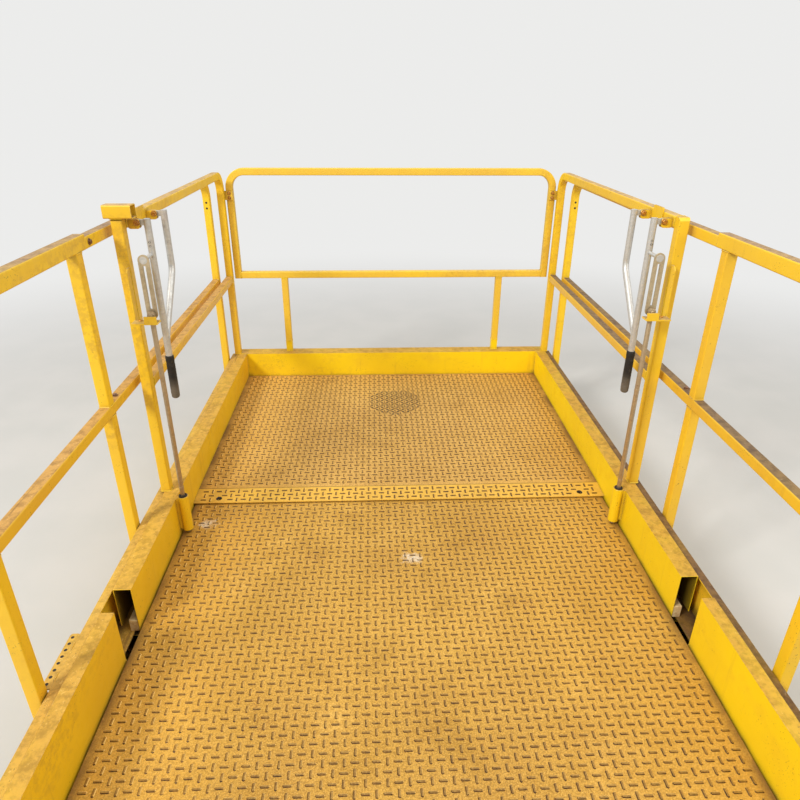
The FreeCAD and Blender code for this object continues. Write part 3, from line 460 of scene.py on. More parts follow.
# Tones of metal, rubber and nylon
ZINC_STAIN, ZINC_RUST, ZINC_GRIME_AND_SHADE = srgb(168, 148, 116), srgb(118, 72, 38), srgb(70, 58, 44)
RUBBER_BLACK, RUBBER_GREY, RUBBER_SCUFF = srgb(30, 28, 27), srgb(112, 104, 92), srgb(86, 78, 66)
NYLON_PALE, NYLON_DIRTY, NYLON_GRIME_AND_SHADE = srgb(238, 216, 170), srgb(196, 158, 108), srgb(112, 84, 54)
HARDWARE_EDGE, HARDWARE_GRIME_AND_SHADE = srgb(214, 200, 168), srgb(62, 44, 26)
SHADE_AND_GREASE_DARK, SHADE_AND_GREASE_PALE = srgb(24, 20, 16), srgb(44, 36, 28)

# Dried splashes on the main deck: x, y and radius in metres
SPLASHES = ((0.023, 1.905, 0.030), (-0.739, 2.12, 0.026))


def yellow_paint(kind, wear, tone, top=(190, 140, 70), cover=0.45, shade_reach=0.0):
    """Sun-faded machine enamel: worn on top faces, chipped along edges, with grime and painted shade in
    corners.

    wear scales the worn tone top, which is on top faces, and cover is the least of it between patches.
    The last argument is how far from the object's own corners it lays deep painted shade, in metres.
    """
    s = Shade("yellow_paint" + kind)
    blotches = s.noise(11, 6, 0.62)
    fine = s.noise(140, 3, 0.5)
    color = s.mix(s.ramp(s.noise(1.7, 5, 0.6), 0.35, 0.68), srgb(*tone), shifted(tone, -10, -14, 10))
    color = s.mix(s.ramp(blotches, 0.50, 0.76, 0, 0.30), color, FADED)
    rubbed = s.times(s.ramp(s.noise(2.4, 6, 0.7, (1.0, 0.3, 1.5)), 0.50, 0.68),
                     s.ramp(s.noise(46, 5, 0.7), 0.42, 0.60))
    color = s.mix(s.times(rubbed, 0.42), color, RUBBED)

    # Top faces
    up = s.ramp(s.split(s.normal(), "z"), 0.70, 0.98)
    worn = s.times(up, s.ramp(s.noise(6.5, 6, 0.66), 0.28, 0.62, cover, 1.0), 0.92 * wear)
    top_color = s.mix(s.ramp(s.noise(42, 5, 0.7), 0.40, 0.66), srgb(*top), shifted(top, -40, -34, -18))
    top_color = s.mix(s.ramp(s.noise(75, 4, 0.7), 0.60, 0.70, 0, 0.6), top_color, shifted(top, 34, 44, 50))
    color = s.mix(worn, color, top_color)

    # Edges, chips and scratches
    edge = s.times(s.edges(0.0035), s.ramp(s.noise(28, 6, 0.7), 0.44, 0.60, 0.06, 1.0))
    color = s.mix(s.times(edge, 0.7), color, s.mix(s.ramp(fine, 0.4, 0.62), PRIMER, BARE))
    chips = s.times(s.ramp(s.noise(85, 4, 0.75), 0.655, 0.69),
                    s.ramp(s.noise(5.0, 3, 0.5), 0.47, 0.62, 0.0, 0.9))
    scratch = s.ramp(s.noise(60, 2, 0.5, (1.0, 0.05, 1.0)), 0.70, 0.74, 0, 0.45)
    color = s.mix(s.calc("MAXIMUM", chips, s.times(scratch, up)), color, CHIP)

    # Corner grime and painted shade, streaks and specks
    dirt_and_shade = s.times(s.hollows(0.03), s.ramp(blotches, 0.25, 0.6, 0.4, 1.0))
    color = s.mix(s.times(dirt_and_shade, 0.66), color, GRIME_AND_SHADE)
    color = s.mix(s.ramp(s.noise(34, 4, 0.6, (1.0, 1.0, 0.06)), 0.60, 0.80, 0, 0.24), color, STREAK)
    speck = s.times(s.ramp(s.noise(230, 2, 0.5), 0.66, 0.70), s.ramp(s.noise(9.0, 4, 0.6), 0.50, 0.62))
    color = s.mix(s.times(speck, 0.7), color, SPECK)
    # Painted shade deep in the object's own hollows
    if shade_reach:
        color = s.mix(s.times(s.hollows(shade_reach, own=True), 0.92), color, PAINTED_DEEP_SHADE)

    rough = s.calc("ADD", s.ramp(blotches, 0.3, 0.75, 0.32, 0.50),
                   s.times(s.calc("MAXIMUM", worn, dirt_and_shade), 0.28))
    height = s.calc("SUBTRACT", s.times(fine, 0.35), s.calc("MAXIMUM", chips, s.times(edge, 0.5)))
    return s.done(color, rough, 0.0, height, 0.0005, 0.35, specular=0.45)


def deck_paint(name, tone, low, bars=False, crease=None):
    """Ochre deck paint with ground-in grime, worn paths and dried splashes, and some painted light and shade.

    low is the tone of its darker patches. bars is for the raised bars, given a painted highlight and painted
    shadow by the side that they face.
    crease is the y, in metres, behind which lies a lip brightened with painted light.
    """
    s = Shade(name)
    blotches = s.noise(7.5, 7, 0.68)
    grain = s.noise(210, 4, 0.7)
    color = s.mix(s.ramp(s.noise(1.3, 6, 0.62), 0.34, 0.66), srgb(*tone), srgb(*low))
    color = s.mix(s.ramp(blotches, 0.50, 0.76, 0, 0.5), color, shifted(low, -44, -38, -24))
    color = s.mix(s.ramp(grain, 0.40, 0.62, 0, 0.6), color, shifted(low, -70, -62, -40))
    color = s.mix(s.ramp(s.noise(330, 2, 0.5), 0.56, 0.66, 0, 0.5), color, DUST)
    bright = s.times(s.ramp(s.noise(3.1, 5, 0.7), 0.50, 0.70), s.ramp(s.noise(90, 4, 0.7), 0.42, 0.62))
    color = s.mix(s.times(bright, 0.6), color, BRIGHT)
    rust = s.times(s.ramp(s.noise(4.3, 6, 0.75), 0.60, 0.70), s.ramp(grain, 0.4, 0.6))
    color = s.mix(s.times(rust, 0.45), color, DECK_RUST)

    # Towards the sides the paint is less worn and warmer with a painted reflection of the boards, and at the
    # boards it is grimy and darkened with painted shade
    off_middle = s.calc("ABSOLUTE", s.split(s.place, "x"))
    unworn_and_reflected = s.times(s.ramp(off_middle, 0.25, 0.80, 0, 0.3), s.ramp(blotches, 0.3, 0.6, 0.5, 1.0))
    color = s.mix(unworn_and_reflected, color, SIDE_WEAR_AND_REFLECTION)
    side = s.times(s.ramp(off_middle, 0.785, 0.828), s.ramp(blotches, 0.3, 0.6, 0.3, 0.85))
    color = s.mix(side, color, SIDE_DIRT_AND_SHADE)

    for x, y, reach in SPLASHES:
        away = s.vectors("DISTANCE", s.place, (x, y, (DECK_Z + 2) * MM))
        blot = s.ramp(s.calc("ADD", away, s.times(s.noise(24, 6, 0.8), 0.16)), reach + 0.092, reach + 0.062)
        color = s.mix(s.times(blot, s.ramp(s.noise(150, 3, 0.6), 0.36, 0.54, 0.25, 0.8)), color, SPLASH)
    if crease:
        # The lip is brightened with painted light, and a painted shade line runs along the crease
        behind = s.calc("SUBTRACT", s.split(s.place, "y"), crease)
        lip = s.times(s.ramp(behind, 0.001, -0.001), s.ramp(blotches, 0.3, 0.6, 0.75, 0.45))
        color = s.mix(lip, color, LIP_HIGHLIGHT)
        color = s.mix(s.ramp(s.calc("ABSOLUTE", behind), 0.0026, 0.0012, 0, 0.7), color, CREASE_SHADE)
    if bars:
        # Painted highlight on the flanks that face towards +x and +y, painted shadow on those that face away,
        # and half of it on the tops
        facing = s.vectors("DOT_PRODUCT", s.normal(), (0.62, 0.78, 0.0))
        painted_shadow = s.times(s.ramp(facing, 0.12, -0.12), s.ramp(s.noise(60, 5, 0.7), 0.36, 0.60, 0.72, 1.0))
        color = s.mix(s.ramp(facing, 0.10, 0.40, 0, 0.75), color, BAR_LIT)
        color = s.mix(painted_shadow, color, s.mix(s.ramp(grain, 0.4, 0.6), BAR_SHADOW, BAR_SHADOW_BROWN))
        rough = s.ramp(grain, 0.3, 0.7, 0.32, 0.6)
    else:
        # Ground-in grime and painted shade round the bars
        color = s.mix(s.times(s.hollows(0.007), 0.85), color, DECK_GRIME_AND_SHADE)
        rough = s.ramp(blotches, 0.3, 0.75, 0.5, 0.78)
    return s.done(color, rough, 0.0, grain, 0.0006, 0.5, specular=0.4)


def zinc(name, tone, rusty, metal, rough):
    """Zinc coating with spangle, grease, a little rust, and grime and painted shade in its corners."""
    s = Shade(name)
    cells = s.node("TexVoronoi", "Color", {"feature": "F1"}, Vector=s.place, Scale=120.0)
    spangle = s.split(cells, "x")
    color = s.mix(s.times(spangle, 0.35), srgb(*tone), shifted(tone, -46, -44, -40))
    color = s.mix(s.ramp(s.noise(14, 6, 0.65), 0.54, 0.78, 0, 0.4), color, ZINC_STAIN)
    rust = s.times(s.ramp(s.noise(22, 6, 0.75), 0.56, 0.68), rusty)
    color = s.mix(rust, color, ZINC_RUST)
    # Grime and painted shade in corners
    dirt_and_shade = s.hollows(0.02)
    color = s.mix(s.times(dirt_and_shade, 0.6), color, ZINC_GRIME_AND_SHADE)
    shine = s.times(s.calc("SUBTRACT", 1.0, s.calc("MAXIMUM", rust, s.times(dirt_and_shade, 0.7))), metal)
    gloss = s.calc("ADD", s.times(spangle, 0.14), s.calc("ADD", s.times(rust, 0.4), rough))
    return s.done(color, gloss, shine, s.noise(190, 4, 0.65), 0.0002, 0.3)


def rubber(name):
    """Moulded black rubber, grey and scuffed over its lower half."""
    s = Shade(name)
    height = s.calc("ADD", s.split(s.place, "z"), s.times(s.noise(30, 5, 0.7), 0.05))
    color = s.mix(s.times(s.ramp(height, 0.835, 0.775), 0.85), RUBBER_BLACK, RUBBER_GREY)
    color = s.mix(s.ramp(s.noise(55, 5, 0.7), 0.55, 0.75, 0, 0.5), color, RUBBER_SCUFF)
    rough = s.ramp(s.noise(20, 4, 0.6), 0.3, 0.7, 0.5, 0.72)
    return s.done(color, rough, 0.0, s.noise(260, 4, 0.6), 0.0003, 0.4, specular=0.4)


def nylon(name):
    """Machined nylon, pale with ground-in grime and saw marks, and darkened with grime and painted shade in
    its corners.
    """
    s = Shade(name)
    marks = s.node("TexWave", "Fac", {"bands_direction": "Y"}, Vector=s.place, Scale=120.0, Distortion=3.0,
                   Detail=3.0)
    dirt_and_shade = s.ramp(s.noise(24, 6, 0.7), 0.42, 0.70)
    color = s.mix(dirt_and_shade, NYLON_PALE, NYLON_DIRTY)
    # Grime and painted shade in its corners
    color = s.mix(s.times(s.hollows(0.006), 0.5), color, NYLON_GRIME_AND_SHADE)
    return s.done(color, s.ramp(dirt_and_shade, 0.0, 1.0, 0.38, 0.6), 0.0, marks, 0.0003, 0.35)


def hardware(name, tone, low, metal):
    """Passivated or rusty steel hardware, worn bright on its corners, with grime and painted shade in its
    hollows; low is its second tone.
    """
    s = Shade(name)
    fine = s.noise(150, 5, 0.7)
    color = s.mix(s.ramp(fine, 0.38, 0.66), srgb(*tone), srgb(*low))
    color = s.mix(s.times(s.edges(0.0012), 0.6), color, HARDWARE_EDGE)
    # Grime and painted shade in hollows
    color = s.mix(s.times(s.hollows(0.01), 0.7), color, HARDWARE_GRIME_AND_SHADE)
    return s.done(color, s.ramp(fine, 0.3, 0.7, 0.3, 0.52), metal, fine, 0.0002, 0.3)


def grease_and_hole_shade(name):
    """Painted shade inside holes, in greasy dark tones, and the greasy dark collars at the sockets' mouths.
    """
    s = Shade(name)
    fine = s.noise(120, 4, 0.6)
    color = s.mix(fine, SHADE_AND_GREASE_DARK, SHADE_AND_GREASE_PALE)
    return s.done(color, s.ramp(fine, 0.3, 0.7, 0.55, 0.8), 0.0, fine, 0.0002, 0.3)


PAINT = yellow_paint("", 1.0, (244, 203, 36), (188, 156, 108), 0.6)
RAIL = yellow_paint("_rail", 1.05, (245, 205, 36), (160, 130, 96), 0.8)
MID = {"right": yellow_paint("_mid_rail", 1.06, (236, 192, 46), (122, 98, 70), 0.9),
       "left": yellow_paint("_mid_rail_left", 1.06, (238, 192, 46), (198, 152, 82), 0.9)}
POST = yellow_paint("_post", 0.7, (244, 201, 38))
# Two copies of the side beams' paint: the right one's dark brown top is partly wear and partly painted shade;
# both lay painted shade deep in their own hollows
BEAM_WORN_AND_SHADED = {"right": yellow_paint("_beam", 1.08, (244, 204, 36), (116, 84, 48), 0.85, 0.05),
        "left": yellow_paint("_beam_left", 1.0, (244, 204, 36), (206, 162, 76), 0.7, 0.05)}
LOOP = yellow_paint("_loop", 0.4, (238, 200, 58), (232, 192, 92))
# One paint in two copies: a paler, more lemon one with painted light for the right and front, and a more
# orange one with painted shade for the left; the channels also lay painted shade deep in their own hollows
BOARD_LIT_AND_SHADED = {"right": yellow_paint("_board", 1.0, (250, 218, 20), (198, 150, 58), 0.75),
         "left": yellow_paint("_board_shaded", 1.0, (246, 204, 28), (204, 158, 66), 0.75)}
CHANNEL_LIT_AND_SHADED = {"right": yellow_paint("_channel", 1.0, (250, 221, 18), (196, 148, 56), 0.75, 0.12),
           "left": yellow_paint("_channel_shaded", 1.0, (246, 204, 28), (204, 158, 66), 0.75, 0.12)}
DECK = deck_paint("deck_paint", (218, 170, 72), (198, 150, 60))
DECK_FRONT = deck_paint("deck_paint_front", (226, 180, 94), (206, 160, 80), crease=CREASE_Y * MM)
BARS = deck_paint("deck_bars", (210, 162, 72), (188, 144, 62), bars=True)
ZINC = zinc("galvanised", (208, 208, 205), 0.22, 0.5, 0.34)
LINK = zinc("galvanised_link", (200, 186, 156), 0.45, 0.6, 0.4)
ROD = zinc("galvanised_rod", (190, 170, 138), 0.6, 0.7, 0.34)
RUBBER = rubber("black_rubber")
NYLON = nylon("nylon")
BRASS = hardware("passivated_hardware", (214, 152, 60), (150, 98, 40), 0.7)
RUSTY = hardware("rusty_hardware", (126, 78, 46), (84, 52, 34), 0.2)
HOLE_SHADE_AND_GREASE = grease_and_hole_shade("dark_hole")


def dress_nodes():
    """Gives every CAD node its material, and all but the decks and levers bevelled edges."""
    finish = {"main_deck": DECK, "extension_deck": DECK_FRONT, "front_guard": LOOP,
              "front_toe_board": BOARD_LIT_AND_SHADED["right"], "lock_rod": ROD, "lock_link": LINK, "lever": ZINC,
              "lever_grip": RUBBER, "wear_block": NYLON, "slide_pad": NYLON}
    for side in ("right", "left"):
        finish |= {"side_toe_board_" + side: BOARD_LIT_AND_SHADED[side], "extension_channel_" + side: CHANNEL_LIT_AND_SHADED[side],
                   "side_beam_" + side: BEAM_WORN_AND_SHADED[side]}
    for name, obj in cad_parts.items():
        stem = name.removesuffix("_right").removesuffix("_left")
        obj.data.materials.clear()
        obj.data.materials.append(finish.get(name, finish.get(stem, PAINT)))
        for face in obj.data.polygons:
            face.material_index = 0
        if stem not in ("main_deck", "extension_deck", "lever", "lever_grip"):
            round_edges(obj, 1.4 * MM)


# Treadplate: short raised lozenges, turned a quarter from each one to the next


PITCH = 26.5
HOLE_CLEAR, CREASE_CLEAR = 24.0, 9.0
FRONT_ROW_Y = LIP_REAR + 19
LOZENGE = 12.6, 4.3, 2.2  # half its length, half its width, and its height
LOZENGE_FOOT = ((-1, 0), (-0.74, -1), (0.74, -1), (1, 0), (0.74, 1), (-0.74, 1))
LOZENGE_TOP = ((-0.76, -0.55), (0.76, -0.55), (0.76, 0.4), (-0.76, 0.4))


def lozenge(bm, centre, along, other, up):
    """One raised bar: a six-cornered foot just inside the deck, and a narrower top, off its middle."""
    long, wide, tall = LOZENGE

    def corners(z, outline):
        return [bm.verts.new(centre + along * (long * a) + other * (wide * b) + up * z) for a, b in outline]

    foot, top = corners(-0.3, LOZENGE_FOOT), corners(tall, LOZENGE_TOP)
    for face in (top, (foot[1], foot[2], top[1], top[0]), (foot[4], foot[5], top[3], top[2]),
                 (foot[0], foot[1], top[0]), (foot[2], foot[3], top[1]), (foot[3], foot[4], top[2]),
                 (foot[5], foot[0], top[3]), (foot[0], top[0], top[3]), (foot[3], top[2], top[1])):
        bm.faces.new(face)


def tread(name, body, x_reach, y_from, y_to, level, holes, crease=None):
    """Bars over a deck, clear of its holes and crease; level gives the height and slope at y."""
    bm = bmesh.new()
    columns, rows = int(x_reach / PITCH), int((y_to - y_from) / PITCH)
    for i in range(-columns, columns + 1):
        for j in range(rows + 1):
            x, y = i * PITCH, y_from + j * PITCH
            at_hole = any(math.hypot(x - a, y - b) < HOLE_CLEAR for a, b in holes)
            if at_hole or crease and abs(y - crease) < CREASE_CLEAR:
                continue
            z, slope = level(y)
            forward = Vector((0, math.cos(slope), math.sin(slope)))
            along, other = (forward, -ACROSS) if (i + j) % 2 else (ACROSS, forward)
            lozenge(bm, Vector((x, y, z)), along, other, ACROSS.cross(forward))
    piece(name, bm, body, BARS, smooth=0)


def front_level(y):
    if y < CREASE_Y:
        return FRONT_DECK_Z - LIP_DROP * (CREASE_Y - y) / LIP_LENGTH, math.atan2(LIP_DROP, LIP_LENGTH)
    return FRONT_DECK_Z, 0.0


def lip_hole_rims():
    """Pressed rims of the two holes in the front deck's lip, painted dark with painted shade."""
    bm = bmesh.new()
    for x, y in LIP_HOLES:
        z, slope = front_level(y)
        turned(bm, (x, y, z), (0, -math.sin(slope), math.cos(slope)),
               [(6.2, -2.5), (9.4, 0.25), (11.4, 0.35), (12.2, -0.3), (6.2, -3.0)], 28, closed=True)
    piece("lip_hole_rims", bm, "extension", HOLE_SHADE_AND_GREASE)


# Guard rails: rounded square tubes in place of the plain ones


def rails(*paths):
    """Square tubes along paths that each lie in a plane across x, bent at their corners."""
    bm = bmesh.new()
    for points in paths:
        square_bar(bm, rounded(points, BEND), ACROSS)
    return bm


def rail_piece(name, bm, body, material, *replaced):
    piece(name, bm, body, material, replaces=replaced, flat_sides=True)


def guard_rails(side, s):
    """One side of the main frame: top rails with their corner posts, two posts and the mid rail."""
    x = s * GUARD_X
    front_end = SPLICE_Y + 0.6
    rail_piece("guard_front_" + side,
               rails([(x, FRONT_Y, FOOT_Z), (x, FRONT_Y, RAIL_Z), (x, front_end, RAIL_Z)]),
               "main_frame", RAIL, "top_rail_front_" + side)

    # The rear rail is taller than its corner post's tube
    bm = rails([(x, REAR_Y, FOOT_Z), (x, REAR_Y, RAIL_Z), (x, SPLICE_Y, RAIL_Z)])
    half_height = (RAIL_CAP - RAIL_UNDER) / 2
    square_bar(bm, [(x, y, RAIL_CAP - half_height) for y in (REAR_Y + BEND, SPLICE_Y)], ACROSS,
               HALF + 0.1, half_height)
    rail_piece("guard_rear_" + side, bm, "main_frame", RAIL, "top_rail_rear_" + side)

    spans = ((FOOT_Z, MID_Z - HALF + SEAT), (MID_Z + HALF - SEAT, RAIL_UNDER + SEAT))
    posts = [[(x, y, low), (x, y, high)] for y in POSTS_Y for low, high in spans]
    rail_piece("guard_posts_" + side, rails(*posts), "main_frame", POST, "post_near_" + side,
               "post_second_" + side)
    rail_piece("guard_mid_rail_" + side, rails([(x, REAR_Y + HALF, MID_Z), (x, FRONT_Y - HALF, MID_Z)]),
               "main_frame", MID[side], *(f"mid_rail_{part}_{side}" for part in ("front", "middle", "rear")))


def extension_rails(side, s):
    """One side of the extension: the top rail with its corner post and the lever's lugs, and the mid rail."""
    x = s * EXT_X
    bm = rails([(x, CORNER_Y, CHANNEL_TOP), (x, CORNER_Y, EXT_RAIL_Z), (x, POST_FRONT, EXT_RAIL_Z)])
    root, tip = EXT_INNER + 0.4, PIVOT_X - 8
    lug = rounded_outline((root - tip) / 2, 15, 7)
    for y in (LEVER_Y, FORK_Y):
        for away in (-LUG_AWAY, LUG_AWAY):
            plate(bm, lug, (s * (root + tip) / 2, y + away, PIVOT_Z - 4), ACROSS, UPRIGHT, LUG_THICK)
    stiffener = (s * (EXT_INNER - LUG_THICK / 2), LEVER_Y + 101, EXT_TOP - 11)
    plate(bm, rounded_outline(37, 24, 5), stiffener, ALONG, UPRIGHT, LUG_THICK)
    rail_piece("extension_rail_" + side, bm, "extension", PAINT, "extension_top_rail_" + side)
    bm = rails([(x, POST_FRONT - SEAT, MID_Z), (x, CORNER_Y - HALF + SEAT, MID_Z)])
    rail_piece("extension_mid_" + side, bm, "extension", MID[side], "extension_mid_rail_" + side)


def front_loop():
    """The front guard: a bent loop with a low rail, two feet and a tab at each side."""
    bm = bmesh.new()
    low, high, reach = LOOP_LOW_Z - HALF, LOOP_TOP - HALF, LOOP_X - HALF + SEAT
    corners = [(-LOOP_X, LOOP_Y, low), (-LOOP_X, LOOP_Y, high), (LOOP_X, LOOP_Y, high), (LOOP_X, LOOP_Y, low)]
    square_bar(bm, rounded(corners, BEND, 12), ALONG)
    square_bar(bm, [(-reach, LOOP_Y, LOOP_LOW_Z), (reach, LOOP_Y, LOOP_LOW_Z)], ALONG)
    tab_x = (LOOP_X + EXT_X) / 2
    for s in SIGNS:
        square_bar(bm, [(s * FEET_X, LOOP_Y, BOARD_TOP), (s * FEET_X, LOOP_Y, low + SEAT)], ALONG)
        plate(bm, rounded_outline(EXT_X + HALF - tab_x, TAB_HALF, 4),
              (s * tab_x, LOOP_Y - HALF - TAB_THICK / 2, TAB_Z), ACROSS, UPRIGHT, TAB_THICK)
    rail_piece("front_loop", bm, "extension", LOOP, "front_guard")


def lever_post(side, s):
    """A lever post, its head cut back at the rear; the left one carries a short box tube."""
    bm = bmesh.new()
    square_bar(bm, [(s * EXT_X, LEVER_POST_Y, CHANNEL_TOP), (s * EXT_X, LEVER_POST_Y, EXT_TOP)], ACROSS)
    cut = bmesh.ops.bisect_plane(bm, geom=bm.verts[:] + bm.edges[:] + bm.faces[:],
                                 plane_co=(0, POST_REAR, EXT_TOP - 10), plane_no=(0, -1, 1), clear_outer=True)
    bmesh.ops.edgeloop_fill(bm, edges=[e for e in cut["geom_cut"] if isinstance(e, bmesh.types.BMEdge)])
    if side == "left":
        wall, corner = 3.0, 5.0
        x_ends, y_ends = ends("lever_post_left", "x"), ends("lever_post_left", "y")
        z_ends = EXT_TOP, ends("lever_post_left", "z")[1]
        y, z = sum(y_ends) / 2, sum(z_ends) / 2
        rings = []
        for x, inset in ((x_ends[0], 0), (x_ends[0], wall), (x_ends[1], wall), (x_ends[1], 0)):
            outline = rounded_outline(y_ends[1] - y - inset, z_ends[1] - z - inset, corner - inset)
            rings.append([bm.verts.new((x, y + a, z + b)) for a, b in outline])
        skin(bm, rings, closed=True)
    rail_piece("lever_mast_" + side, bm, "extension", PAINT, "lever_post_" + side)


# Weld beads where tubes and plates meet


def welds_main():
    bm = bmesh.new()
    board_foot = ends("side_toe_board_right", "z")[0] + 4
    board_front = ends("side_toe_board_right", "y")[1]
    for s in SIGNS:
        for y in POSTS_Y:
            for z in (MID_Z - HALF, MID_Z + HALF, RAIL_UNDER):
                square_bead(bm, (s * GUARD_X, y, z), "z")
        for y in (REAR_Y + HALF, FRONT_Y - HALF):
            square_bead(bm, (s * GUARD_X, y, MID_Z), "y")
        for y in (DECK_REAR + 2, board_front - 2):
            seam(bm, (s * BOARD_X, y, board_foot), (s * BOARD_X, y, DECK_Z), 2.4)
        square_bead(bm, (s * GUARD_X, SPLICE_Y, RAIL_Z), "y", HALF - 0.6, 1.8)
        for x, z in ((GUARD_INNER, RAIL_Z), (GUARD_INNER, MID_Z), (GATE_POST_X + HALF, MID_Z)):
            square_bead(bm, (s * x, REAR_Y, z), "x", HALF, 2.2)
        square_bead(bm, (s * GATE_POST_X, REAR_Y, RAIL_UNDER), "z", HALF, 2.2)
        # A cap closes the end of the rear guard's top tube beside the bend of the corner post
        cap = rounded_outline(HALF - 0.4, HALF - 0.4, 4)
        plate(bm, cap, (s * (GUARD_INNER + 0.8), REAR_Y, RAIL_Z), ALONG, UPRIGHT, 2.4)
        x = s * (WALL_X + 0.4)
        for post_y in (REAR_Y, *POSTS_Y, FRONT_Y):
            for y in (post_y - POCKET_HALF, post_y + POCKET_HALF):
                seam(bm, (x, y, FOOT_Z), (x, y, DECK_Z + 38), 2.4)
    piece("welds_main", bm, "main_frame", PAINT)


def welds_gate():
    bm = bmesh.new()
    for s in SIGNS:
        for z in (GATE_TOP - GATE_HALF, MID_Z + HALF - GATE_HALF):
            square_bead(bm, (s * GATE_X, GATE_Y, z), "x", GATE_HALF, 2.2)
    piece("welds_gate", bm, "gate", PAINT)


def welds_extension():
    bm = bmesh.new()
    over_channel = CHANNEL_TOP + 0.5
    for s in SIGNS:
        for y, z in ((POST_FRONT, EXT_RAIL_Z), (POST_FRONT, MID_Z), (CORNER_Y - HALF, MID_Z)):
            square_bead(bm, (s * EXT_X, y, z), "y")
        square_bead(bm, (s * EXT_X, CORNER_Y, CHANNEL_TOP), "z")
        square_bead(bm, (s * EXT_X, LEVER_POST_Y, CHANNEL_TOP), "z", HALF, 3.0)
        for z in (LOOP_LOW_Z - HALF, BOARD_TOP, CHANNEL_TOP):
            square_bead(bm, (s * FEET_X, LOOP_Y, z), "z")
        square_bead(bm, (s * (LOOP_X - HALF), LOOP_Y, LOOP_LOW_Z), "x")
        x, y = s * BOARD_X, BOARD_INNER_Y
        seam(bm, (x, y, FRONT_DECK_Z + 10), (x, y, CHANNEL_TOP - 1), 2.6)
        seam(bm, (x, y, over_channel), (s * (CHANNEL_X - 1), y, over_channel), 2.2)
        x = s * EXT_INNER
        seam(bm, (x, POST_REAR, GUIDE_Z[0] + 1), (x, POST_REAR, GUIDE_Z[1] - 1), 2.2)
        for y in (LEVER_Y - LUG_AWAY, LEVER_Y + LUG_AWAY, FORK_Y - LUG_AWAY, FORK_Y + LUG_AWAY):
            seam(bm, (x, y, EXT_TOP - 36), (x, y, EXT_TOP - 12), 2.4)
    box_foot = [(-EXT_X + a, LEVER_POST_Y + b, EXT_TOP)
                for a, b in ((-HALF, -HALF), (HALF, -HALF), (HALF, HALF), (-HALF, HALF))]
    bead(bm, box_foot)
    piece("welds_extension", bm, "extension", BOARD_LIT_AND_SHADED["right"])


# Edge strip, holes and fasteners


def edge_strip():
    """The short strip beside the left toe board; its holes are in holes_main."""
    bm = bmesh.new()
    rear, front = STRIP_Y
    plate(bm, rounded_outline((front - rear) / 2, STRIP_WIDTH / 2 + 1, 7),
          (STRIP_X + 1, (rear + front) / 2, BEAM_Z - STRIP_THICK / 2), ALONG, ACROSS, STRIP_THICK)
    for y in (rear + 24, rear + 124):
        seam(bm, (-WALL_X, y, BEAM_Z), (-WALL_X, y + 26, BEAM_Z), 2.0)
    piece("edge_strip_left", bm, "main_frame", BEAM_WORN_AND_SHADED["left"], bevel=0.8 * MM)


def rail_bolts():
    bm = bmesh.new()
    hex_bolt(bm, (-GUARD_INNER, SPLICE_Y + 24, RAIL_Z), ACROSS, 7.5, 5)
    for s in SIGNS:
        hex_bolt(bm, (s * GUARD_X, SPLICE_Y + 20, MID_Z + HALF), UPRIGHT, 7.5, 5)
    piece("rail_bolts", bm, "main_frame", RUSTY)


def holes_main():
    """Two holes in each front corner post, and the row along the edge strip: dishes painted dark with painted
    shade.
    """
    bm = bmesh.new()
    for s in SIGNS:
        for z in (1178, 1206):
            dimple(bm, (s * GUARD_X, FRONT_Y - HALF, z), -ALONG, 4.2)
    for k in range(8):
        dimple(bm, (STRIP_X - 2, STRIP_Y[1] - 14 - 21.7 * k, BEAM_Z), UPRIGHT, 3.6)
    piece("rail_holes", bm, "main_frame", HOLE_SHADE_AND_GREASE)


def holes_deck():
    """A round field of small holes in the front deck, one between each four bars: dishes painted dark with
    painted shade.
    """
    field_y, field_radius, hole_radius = 3143.0, 146.0, 5.2
    columns, rows = 6, 50
    bm = bmesh.new()
    for i in range(-columns, columns):
        for j in range(rows):
            x, y = (i + 0.5) * PITCH, FRONT_ROW_Y + (j + 0.5) * PITCH
            if math.hypot(x, y - field_y) < field_radius:
                dimple(bm, (x, y, FRONT_DECK_Z), UPRIGHT, hole_radius)
    piece("deck_perforations", bm, "extension", HOLE_SHADE_AND_GREASE)


def tab_bolts():
    """The bolts of the front guard's tabs, two into the loop and two into the rail at each side."""
    bm = bmesh.new()
    for s in SIGNS:
        for z in (TAB_Z - 12, TAB_Z + 12):
            hex_bolt(bm, (s * LOOP_X, LOOP_Y - HALF - TAB_THICK, z), -ALONG, 7.0, 5)
            hex_bolt(bm, (s * EXT_X, LOOP_Y - HALF, z), ALONG, 7.0, 5)
    piece("tab_bolts", bm, "extension", BRASS)


def hinge_bolts():
    """The bolts that the levers hang from, and a stud on each rod guide."""
    bm = bmesh.new()
    lug_face = LUG_AWAY + LUG_THICK / 2 - 0.1
    for s in SIGNS:
        for y in (LEVER_Y, FORK_Y):
            hex_bolt(bm, (s * PIVOT_X, y - lug_face, PIVOT_Z), -ALONG, 7.6, 4.6)
            hex_bolt(bm, (s * PIVOT_X, y + lug_face, PIVOT_Z), ALONG, 7.6, 4.6)
            tube(bm, [(s * PIVOT_X, y - 10, PIVOT_Z), (s * PIVOT_X, y + 17, PIVOT_Z)], 4.4)
        turned(bm, (s * (LEVER_X + 40), ROD_Y + 8, GUIDE_Z[0] + 14.8), UPRIGHT,
               [(7, -0.3), (7, 1.2), (5.6, 3.4), (2.5, 4.2)], 16)
    piece("hinge_bolts", bm, "extension", BRASS)


# Hand levers and locks


def eye_outline():
    """A tongue from the lever's tube, round about the pivot."""
    neck, radius = 9, 11
    head = [(EYE_REACH + radius * math.cos(math.radians(a)), radius * math.sin(math.radians(a)))
            for a in range(-55, 56, 11)]
    return [(0, -neck), (EYE_REACH, -neck), *head, (EYE_REACH, neck), (0, neck)]


